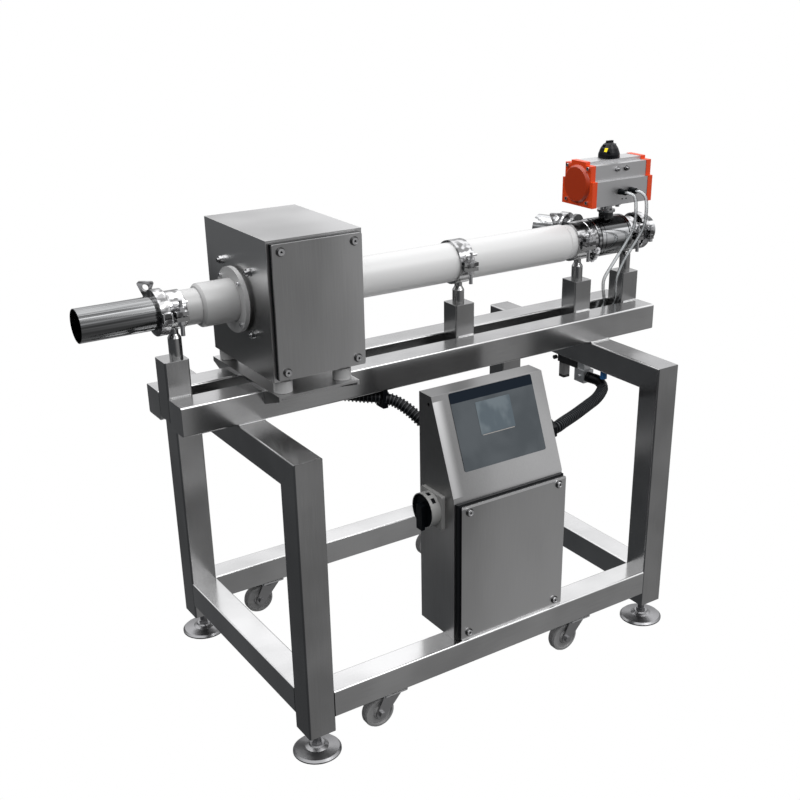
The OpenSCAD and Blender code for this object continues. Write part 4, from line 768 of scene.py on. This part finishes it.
    def piece(self, name: str, body: str) -> bpy.types.Object:
        """Turns the shape into an object of the scene.

        Args:
            name: Name of the object.
            body: Body that it moves with.

        Returns:
            The object.
        """
        bmesh.ops.recalc_face_normals(self.mesh, faces=self.mesh.faces)
        bmesh.ops.scale(self.mesh, vec=(MM,) * 3, verts=self.mesh.verts)
        limit = math.radians(self.SMOOTH)
        for face in self.mesh.faces:
            face.smooth = True
        for edge in self.mesh.edges:
            edge.smooth = len(edge.link_faces) != 2 or edge.calc_face_angle(0.0) < limit
        data = bpy.data.meshes.new(name)
        self.mesh.to_mesh(data)
        self.mesh.free()
        item = bpy.data.objects.new(name, data)
        bpy.context.collection.objects.link(item)
        item.modifiers.new("even", "WEIGHTED_NORMAL").keep_sharp = True
        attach(item, body)
        return item


def curve_through(points: Sequence[Point], step: float) -> list[Vector]:
    """Draws a smooth curve through the points and cuts it into equal steps.

    Args:
        points: Points on the curve.
        step: Distance between two samples.

    Returns:
        The samples.
    """
    cuts = 24
    knots = [Vector(p) for p in points]
    knots = [knots[0] * 2 - knots[1], *knots, knots[-1] * 2 - knots[-2]]
    fine: list[Vector] = []
    for a, b, c, d in zip(knots, knots[1:], knots[2:], knots[3:]):
        for t in (k / cuts for k in range(cuts)):
            fine.append(0.5 * (b * 2 + (c - a) * t + (a * 2 - b * 5 + c * 4 - d) * t * t
                               + (b * 3 - a - c * 3 + d) * t * t * t))
    fine.append(knots[-2])
    samples = [fine[0]]
    carried = 0.0
    for start, end in zip(fine, fine[1:]):
        length = (end - start).length
        while carried + length >= step:
            start = start + (end - start).normalized() * (step - carried)
            length = (end - start).length
            carried = 0.0
            samples.append(start)
        carried += length
    samples.append(fine[-1])
    return samples


class Workshop:
    """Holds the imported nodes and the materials, and adds finished pieces to the scene."""

    def __init__(self) -> None:
        """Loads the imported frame."""
        self.nodes: dict[str, bpy.types.Object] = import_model()["nodes"]
        self._materials: dict[str, bpy.types.Material] = {}

    def paint(self, item: bpy.types.Object, finish: str) -> None:
        """Gives an object one finish, whose material is made once.

        Args:
            item: The object.
            finish: Name of the finish.
        """
        if finish not in self._materials:
            self._materials[finish] = FINISHES[finish].build(finish)
        item.data.materials.clear()
        item.data.materials.append(self._materials[finish])

    def add(self, shape: Shape, name: str, finish: str, body: str = "stand", instead_of: str = "") -> None:
        """Makes a shape a piece of the scene and reports it.

        Args:
            shape: The shape.
            name: Name of the piece.
            finish: Its finish.
            body: Body that it moves with.
            instead_of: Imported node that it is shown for, if any.
        """
        item = shape.piece(name, body)
        if instead_of:
            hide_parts(instead_of)
        self.paint(item, finish)
        LOG.info("%s, %d faces, %s", name, len(item.data.polygons), finish)


@dataclass(frozen=True)
class PackedNodes:
    """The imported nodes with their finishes, some behind copies with rounded edges.

    Attributes:
        rounded: Width of the rounding, and the angle from which an edge is rounded, by node.
    """

    rounded: tuple[tuple[str, float, float], ...] = (
        ("head_shell", 2.2, 60.0), ("head_door", 3.0, 60.0), ("console_body", 4.0, 40.0),
        ("console_door", 3.0, 60.0), ("leg_frames", 0.8, 60.0), ("carriage_beams", 1.0, 60.0),
        ("support_posts", 1.0, 60.0), ("head_bracket", 1.2, 60.0), ("actuator_body", 1.3, 60.0),
        ("actuator_caps", 2.6, 60.0), ("product_pipe", 1.0, 30.0), ("pipe_flanges", 1.2, 60.0))

    def build(self, shop: Workshop) -> None:
        """Paints every node and adds the rounded copies.

        Args:
            shop: Where the pieces are added.
        """
        for name, item in shop.nodes.items():
            shop.paint(item, NODE_FINISH[name])
        LOG.info("%d packed nodes painted", len(shop.nodes))
        for name, width, angle in self.rounded:
            node = shop.nodes[name]
            shop.add(Shape.copy_of(node).soften(width, angle), f"{name}_soft", NODE_FINISH[name],
                     body_of(node)[0], name)


@dataclass(frozen=True)
class Conduit:
    """A corrugated conduit with the gland that holds it in the console.

    Attributes:
        side: Left or right, as in the node's name.
        route: Its centre line, as in the part's source.
        plain: Length of its smooth start.
        gland: Centre of the gland's foot, on the console's wall.
        way: Where the gland points.
        clip: Corners of the clip under the beam, if it has one.
        step: Distance between two rings of the drawn tube.
        pitch: Rings from one rib to the next.
        root_r: Radius between the ribs.
        plain_r: Radius of the smooth start.
        rib_r: Radius of the ribs.
        nut_r: Radius of the gland's nut, over its corners.
        nut_h: Height of the nut.
        cone_r: Radii of the gland's cone, at its foot and at its top.
        cone_h: Height of the cone.
        sides: Faces round the tube.
    """

    side: str
    route: tuple[Point, ...]
    plain: float
    gland: Point
    way: Point
    clip: tuple[Point, ...] = ()
    step: float = 2.0
    pitch: int = 4
    root_r: float = 11.0
    plain_r: float = 12.6
    rib_r: float = 13.5
    nut_r: float = 22.0
    nut_h: float = 11.0
    cone_r: tuple[float, float] = (20.0, 15.0)
    cone_h: float = 6.0
    sides: int = 24

    def ribs(self, path: Sequence[Vector]) -> Shape:
        """Draws the ribs, each one step long.

        Args:
            path: Samples of the centre line.

        Returns:
            The shape.
        """
        shape = Shape()
        for start in range(int(self.plain / self.step), len(path) - 3, self.pitch):
            shape.sweep(path[start:start + 2], (self.rib_r, self.rib_r), self.sides)
        return shape

    def core(self, path: Sequence[Vector]) -> Shape:
        """Draws the tube under the ribs, with its clip and its gland.

        Args:
            path: Samples of the centre line.

        Returns:
            The shape.
        """
        radii = [self.plain_r if i * self.step < self.plain else self.root_r for i in range(len(path))]
        shape = Shape().sweep(path, radii, self.sides)
        if self.clip:
            shape.block(*self.clip, 2.0)
        shape.disc(self.gland, self.way, self.nut_r, self.nut_h, 6)
        cone = tuple(g + w * self.nut_h for g, w in zip(self.gland, self.way))
        return shape.disc(cone, self.way, self.cone_r[0], self.cone_h, self.sides, self.cone_r[1])

    def build(self, shop: Workshop) -> None:
        """Adds the ribs and the core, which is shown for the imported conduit.

        Args:
            shop: Where the pieces are added.
        """
        path = curve_through(self.route, self.step)
        # The ribs carry the lighter rubber, a painted highlight.
        shop.add(self.ribs(path), f"{self.side}_conduit_ribs", "rubber_rib")
        shop.add(self.core(path), f"{self.side}_conduit_core", "rubber", instead_of=f"{self.side}_conduit")


LEFT_CONDUIT = Conduit("left", (
    (-224, 4, 709.6), (-224, 4, 690), (-221, 4, 672), (-207, 4, 654), (-185, -1, 638), (-155, -24, 634),
    (-128, -47, 632), (-104, -64, 630), (-84, -83, 624), (-68, -109, 610), (-56, -133, 593),
    (-48, -150, 582), (-47, -158, 581), (-47, -166.7, 581)), 26.0, (-47, -166.9, 581), (0, 1, 0),
    ((-110.5, -79, 609.9), (-97.5, -49, 649.9)))
RIGHT_CONDUIT = Conduit("right", (
    (470, -66.4, 559), (470, -74, 559), (479, -90, 555), (476, -110, 547), (455, -128, 542),
    (420, -150, 540), (380, -169, 540), (316, -199, 541), (262, -222, 542), (232, -236, 543),
    (216, -238, 543), (204.4, -238, 543)), 58.0, (204.1, -238, 543), (1, 0, 0))


@dataclass(frozen=True)
class AirTube:
    """A clear air tube, drawn round and smooth.

    Attributes:
        side: Left or right, as in the node's name.
        route: Its centre line, as in the part's source.
        radius: Its radius.
        step: Distance between two rings of the drawn tube.
        sides: Faces round it.
    """

    side: str
    route: tuple[Point, ...]
    radius: float = 4.0
    step: float = 2.5
    sides: int = 14

    def build(self, shop: Workshop) -> None:
        """Adds the tube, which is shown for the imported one.

        Args:
            shop: Where the pieces are added.
        """
        path = curve_through(self.route, self.step)
        shape = Shape().sweep(path, [self.radius] * len(path), self.sides)
        shop.add(shape, f"{self.side}_air_tube_smooth", "clear_tube", instead_of=f"{self.side}_air_tube")


LEFT_AIR_TUBE = AirTube("left", (
    (554, -62, 985), (554, -70, 985), (557, -79, 984), (565, -87, 975), (572, -85, 941), (578, -75, 904),
    (574, -60, 871), (549, -40, 812), (539, -28, 780), (546, -18, 752), (560, -8, 722), (563, 0, 700),
    (552, 6, 672), (538, 8, 645), (532, 8, 606), (524, 6, 588), (512, 4, 581.5), (491, 4, 581)))
RIGHT_AIR_TUBE = AirTube("right", (
    (586, -62, 985), (586, -70, 985), (590, -79, 984), (598, -87, 972), (605, -85, 941), (612, -74, 905),
    (609, -60, 874), (590, -40, 822), (581, -28, 781), (587, -18, 750), (597, -8, 718), (598, 4, 696),
    (582, 12, 676), (562, 18, 648), (553, 20, 606), (540, 22, 587), (522, 22, 581.5), (491, 22, 581)))


@dataclass(frozen=True)
class ScrewSquare:
    """Four socket screws at the corners of an upright rectangle.

    Attributes:
        centre: Middle of the rectangle, level with the sockets' floors.
        way: Where the heads point, along X or Y.
        across: Half the level distance between two screws.
        up: Half the upright distance between two screws.
        socket_r: Radius of the hexagon socket.
    """

    centre: Point
    way: Point
    across: float
    up: float
    socket_r: float

    def places(self, proud: float) -> Iterator[Point]:
        """Yields the middle of each screw.

        Args:
            proud: Height over the sockets' floors.

        Yields:
            The four places.
        """
        x, y, z = (c + w * proud for c, w in zip(self.centre, self.way))
        beside = (abs(self.way[1]) * self.across, abs(self.way[0]) * self.across)
        for side, level in product((-1, 1), repeat=2):
            yield x + side * beside[0], y + side * beside[1], z + level * self.up


@dataclass(frozen=True)
class Screws:
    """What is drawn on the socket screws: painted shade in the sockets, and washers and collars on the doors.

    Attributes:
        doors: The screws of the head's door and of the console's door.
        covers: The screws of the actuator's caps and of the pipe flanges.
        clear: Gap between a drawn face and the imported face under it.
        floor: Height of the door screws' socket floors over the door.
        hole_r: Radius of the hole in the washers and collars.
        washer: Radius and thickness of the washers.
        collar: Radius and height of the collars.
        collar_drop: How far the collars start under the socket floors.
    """

    doors: tuple[ScrewSquare, ...] = (
        ScrewSquare((-280, -142.8, 874), (0, -1, 0), 77, 115, 2.3),
        ScrewSquare((69.5, -303.8, 301), (0, -1, 0), 117.5, 142, 2.3))
    covers: tuple[ScrewSquare, ...] = (
        ScrewSquare((562 - 93, 4, 1003), (-1, 0, 0), 35, 38, 1.9),
        ScrewSquare((562 + 93, 4, 1003), (1, 0, 0), 35, 38, 1.9),
        ScrewSquare((-280 - 116.5, 4, 873), (-1, 0, 0), 40, 40, 1.9),
        ScrewSquare((-280 + 116.5, 4, 873), (1, 0, 0), 40, 40, 1.9))
    clear: float = 0.02
    floor: float = 1.8
    hole_r: float = 4.95
    washer: tuple[float, float] = (8.8, 1.6)
    collar: tuple[float, float] = (6.6, 3.6)
    collar_drop: float = 0.1

    def floors(self) -> Shape:
        """Draws dark discs on the floors of the hexagon sockets, as painted shade.

        Returns:
            The shape.
        """
        shape = Shape()
        for square in self.doors + self.covers:
            for place in square.places(self.clear):
                shape.disc(place, square.way, square.socket_r, 0.3, 12)
        return shape

    def rings(self, proud: float, outer: float, length: float) -> Shape:
        """Draws a ring round each door screw.

        Args:
            proud: Where it starts, over the sockets' floors.
            outer: Radius of its rim.
            length: Its thickness.

        Returns:
            The shape.
        """
        shape = Shape()
        for square in self.doors:
            for place in square.places(proud):
                shape.ring(place, square.way, self.hole_r, outer, length)
        return shape

    def build(self, shop: Workshop) -> None:
        """Adds the painted shade in the sockets, the washers and the collars.

        Args:
            shop: Where the pieces are added.
        """
        # Dark discs: painted shade in the sockets.
        shop.add(self.floors(), "socket_floors", "black_plastic")
        shop.add(self.rings(self.clear - self.floor, *self.washer), "door_washers", "dark_steel")
        shop.add(self.rings(-self.collar_drop, *self.collar), "screw_collars", "bright_screw")


@dataclass(frozen=True)
class ActuatorPorts:
    """The small holes on the front of the actuator, drawn as dark discs of painted shade.

    Attributes:
        places: Their middles, on the body's front.
        radius: Radius of a hole.
        clear: Gap between a drawn face and the body.
    """

    places: tuple[Point, ...] = ((560, -39, 1005), (574, -39, 1005), (563, -47, 967), (575, -47, 967))
    radius: float = 1.8
    clear: float = 0.02

    def build(self, shop: Workshop) -> None:
        """Adds the holes as dark discs of painted shade.

        Args:
            shop: Where the pieces are added.
        """
        shape = Shape()
        for x, y, z in self.places:
            shape.disc((x, y - self.clear, z), (0, -1, 0), self.radius, 0.25, 16)
        shop.add(shape, "actuator_ports", "black_plastic")


@dataclass(frozen=True)
class Welds:
    """Beads where the posts stand on the beams and where the beams lie on the frames.

    Attributes:
        posts: Middles of the posts.
        post_start: Half length, depth and height of the posts' beads.
        frames: Left faces of the two frames' cross tubes.
        frame_start: Inset, depth and height of the beads on the cross tubes.
        frame_length: Length of those beads.
        ripple: Length of the bead from one section to the next.
        radius: Mean radius, and how far the ripples move it.
    """

    posts: tuple[float, ...] = (-525.0, 141.0, 481.0, 630.0)
    post_start: Point = (21.0, -22.3, 710.6)
    frames: tuple[float, ...] = (-440.0, 456.0)
    frame_start: Point = (2.0, -82.2, 650.9)
    frame_length: float = 56.0
    ripple: float = 1.2
    radius: tuple[float, float] = (1.5, 0.45)

    def bead(self, shape: Shape, start: Point, length: float) -> None:
        """Draws a rippled bead along X.

        Args:
            shape: The shape that it is added to.
            start: Its left end.
            length: Its length.
        """
        count = max(4, int(length / self.ripple))
        x, y, z = start
        line = [(x + length * i / count, y, z) for i in range(count + 1)]
        mean, wave = self.radius
        shape.sweep(line, [mean + wave * math.sin(2.1 * i) for i in range(count + 1)], 8)

    def build(self, shop: Workshop) -> None:
        """Adds the beads as one piece.

        Args:
            shop: Where the pieces are added.
        """
        shape = Shape()
        half, depth, height = self.post_start
        for x in self.posts:
            self.bead(shape, (x - half, depth, height), 2 * half)
        inset, depth, height = self.frame_start
        for x in self.frames:
            self.bead(shape, (x + inset, depth, height), self.frame_length)
        shop.add(shape, "weld_beads", "weld")


@dataclass(frozen=True)
class Lamp:
    """A square area light.

    Attributes:
        name: Its name.
        place: Where it hangs, in metres.
        aim: What it points at.
        size: Its side in metres.
        power: Its power in watts.
    """

    name: str
    place: Point
    aim: Point
    size: float
    power: float

    def build(self) -> None:
        """Hangs the light."""
        data = bpy.data.lights.new(self.name, "AREA")
        data.size = self.size
        data.energy = self.power
        lamp = bpy.data.objects.new(self.name, data)
        bpy.context.collection.objects.link(lamp)
        lamp.location = self.place
        lamp.rotation_mode = "QUATERNION"
        lamp.rotation_quaternion = (Vector(self.aim) - Vector(self.place)).to_track_quat("-Z", "Y")


@dataclass(frozen=True)
class Studio:
    """Camera, background and lights.

    Attributes:
        lens: Focal length in millimetres.
        sensor: Width of the sensor in millimetres.
        shift: Shift of the picture.
        place: Where the camera stands, in metres.
        azimuth: Where it looks, in degrees from Y towards X.
        elevation: How far it looks down, in degrees.
        lamps: The lights.
    """

    lens: float = 51.41
    sensor: float = 36.0
    shift: tuple[float, float] = (-0.0641, 0.0717)
    place: Point = (-1.2701, -1.9826, 1.4784)
    azimuth: float = 34.99
    elevation: float = 23.73
    lamps: tuple[Lamp, ...] = (Lamp("key", (0.9, -1.8, 3.0), (0.0, 0.0, 0.5), 1.6, 34.0),
                               Lamp("top", (-0.3, 0.6, 3.4), (0.0, 0.0, 0.6), 2.4, 40.0))

    def camera(self) -> None:
        """Places the camera where the photograph was taken from."""
        data = bpy.data.cameras.new("camera")
        data.lens = self.lens
        data.sensor_width = self.sensor
        data.shift_x, data.shift_y = self.shift
        camera = bpy.data.objects.new("camera", data)
        bpy.context.collection.objects.link(camera)
        camera.location = self.place
        turn, light_drift = math.radians(self.azimuth), math.radians(self.elevation)
        look = Vector((math.sin(turn) * math.cos(light_drift), math.cos(turn) * math.cos(light_drift), -math.sin(light_drift)))
        camera.rotation_mode = "QUATERNION"
        camera.rotation_quaternion = look.to_track_quat("-Z", "Y")
        bpy.context.scene.camera = camera

    def background(self) -> None:
        """White behind the object, and a studio that is bright above and dark at the left."""
        world = bpy.data.worlds.new("studio")
        world.use_nodes = True
        world.node_tree.nodes.clear()
        bpy.context.scene.world = world
        graph = ShaderGraph(world.node_tree)
        height = graph.component("Z")
        side = graph.component("X")
        ground = side.ramp(-0.45, 0.3).mix((0.075, 0.078, 0.082), (0.31, 0.31, 0.312))
        walls = side.ramp(-0.6, 0.4).mix((0.15, 0.155, 0.16), (0.70, 0.70, 0.71))
        room = height.ramp(-0.30, 0.12).mix(ground, walls)
        room = height.ramp(0.15, 0.70).mix(room, (2.0, 2.0, 2.02))
        surround = graph.node("ShaderNodeBackground", {}, {"Color": room})
        white = graph.node("ShaderNodeBackground", {}, {"Color": (1, 1, 1, 1)})
        path = graph.node("ShaderNodeLightPath", {}, {})
        chosen = graph.node("ShaderNodeMixShader", {}, {
            0: path.outputs["Is Camera Ray"], 1: surround.outputs[0], 2: white.outputs[0]})
        graph.node("ShaderNodeOutputWorld", {}, {"Surface": chosen.outputs[0]})

    def build(self) -> None:
        """Sets up the whole studio."""
        self.camera()
        self.background()
        for lamp in self.lamps:
            lamp.build()
        bpy.context.scene.view_settings.view_transform = "Standard"
        bpy.context.scene.view_settings.look = "None"


def main() -> None:
    """Builds the detector's sub-assemblies in order, and the studio round them."""
    logging.basicConfig(level=logging.INFO)
    shop = Workshop()
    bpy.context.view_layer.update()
    for assembly in (PackedNodes(), LEFT_CONDUIT, RIGHT_CONDUIT, LEFT_AIR_TUBE, RIGHT_AIR_TUBE, Screws(),
                     ActuatorPorts(), Welds()):
        assembly.build(shop)
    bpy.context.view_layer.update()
    Studio().build()
    LOG.info("scene built")


if __name__ == "__main__":
    main()
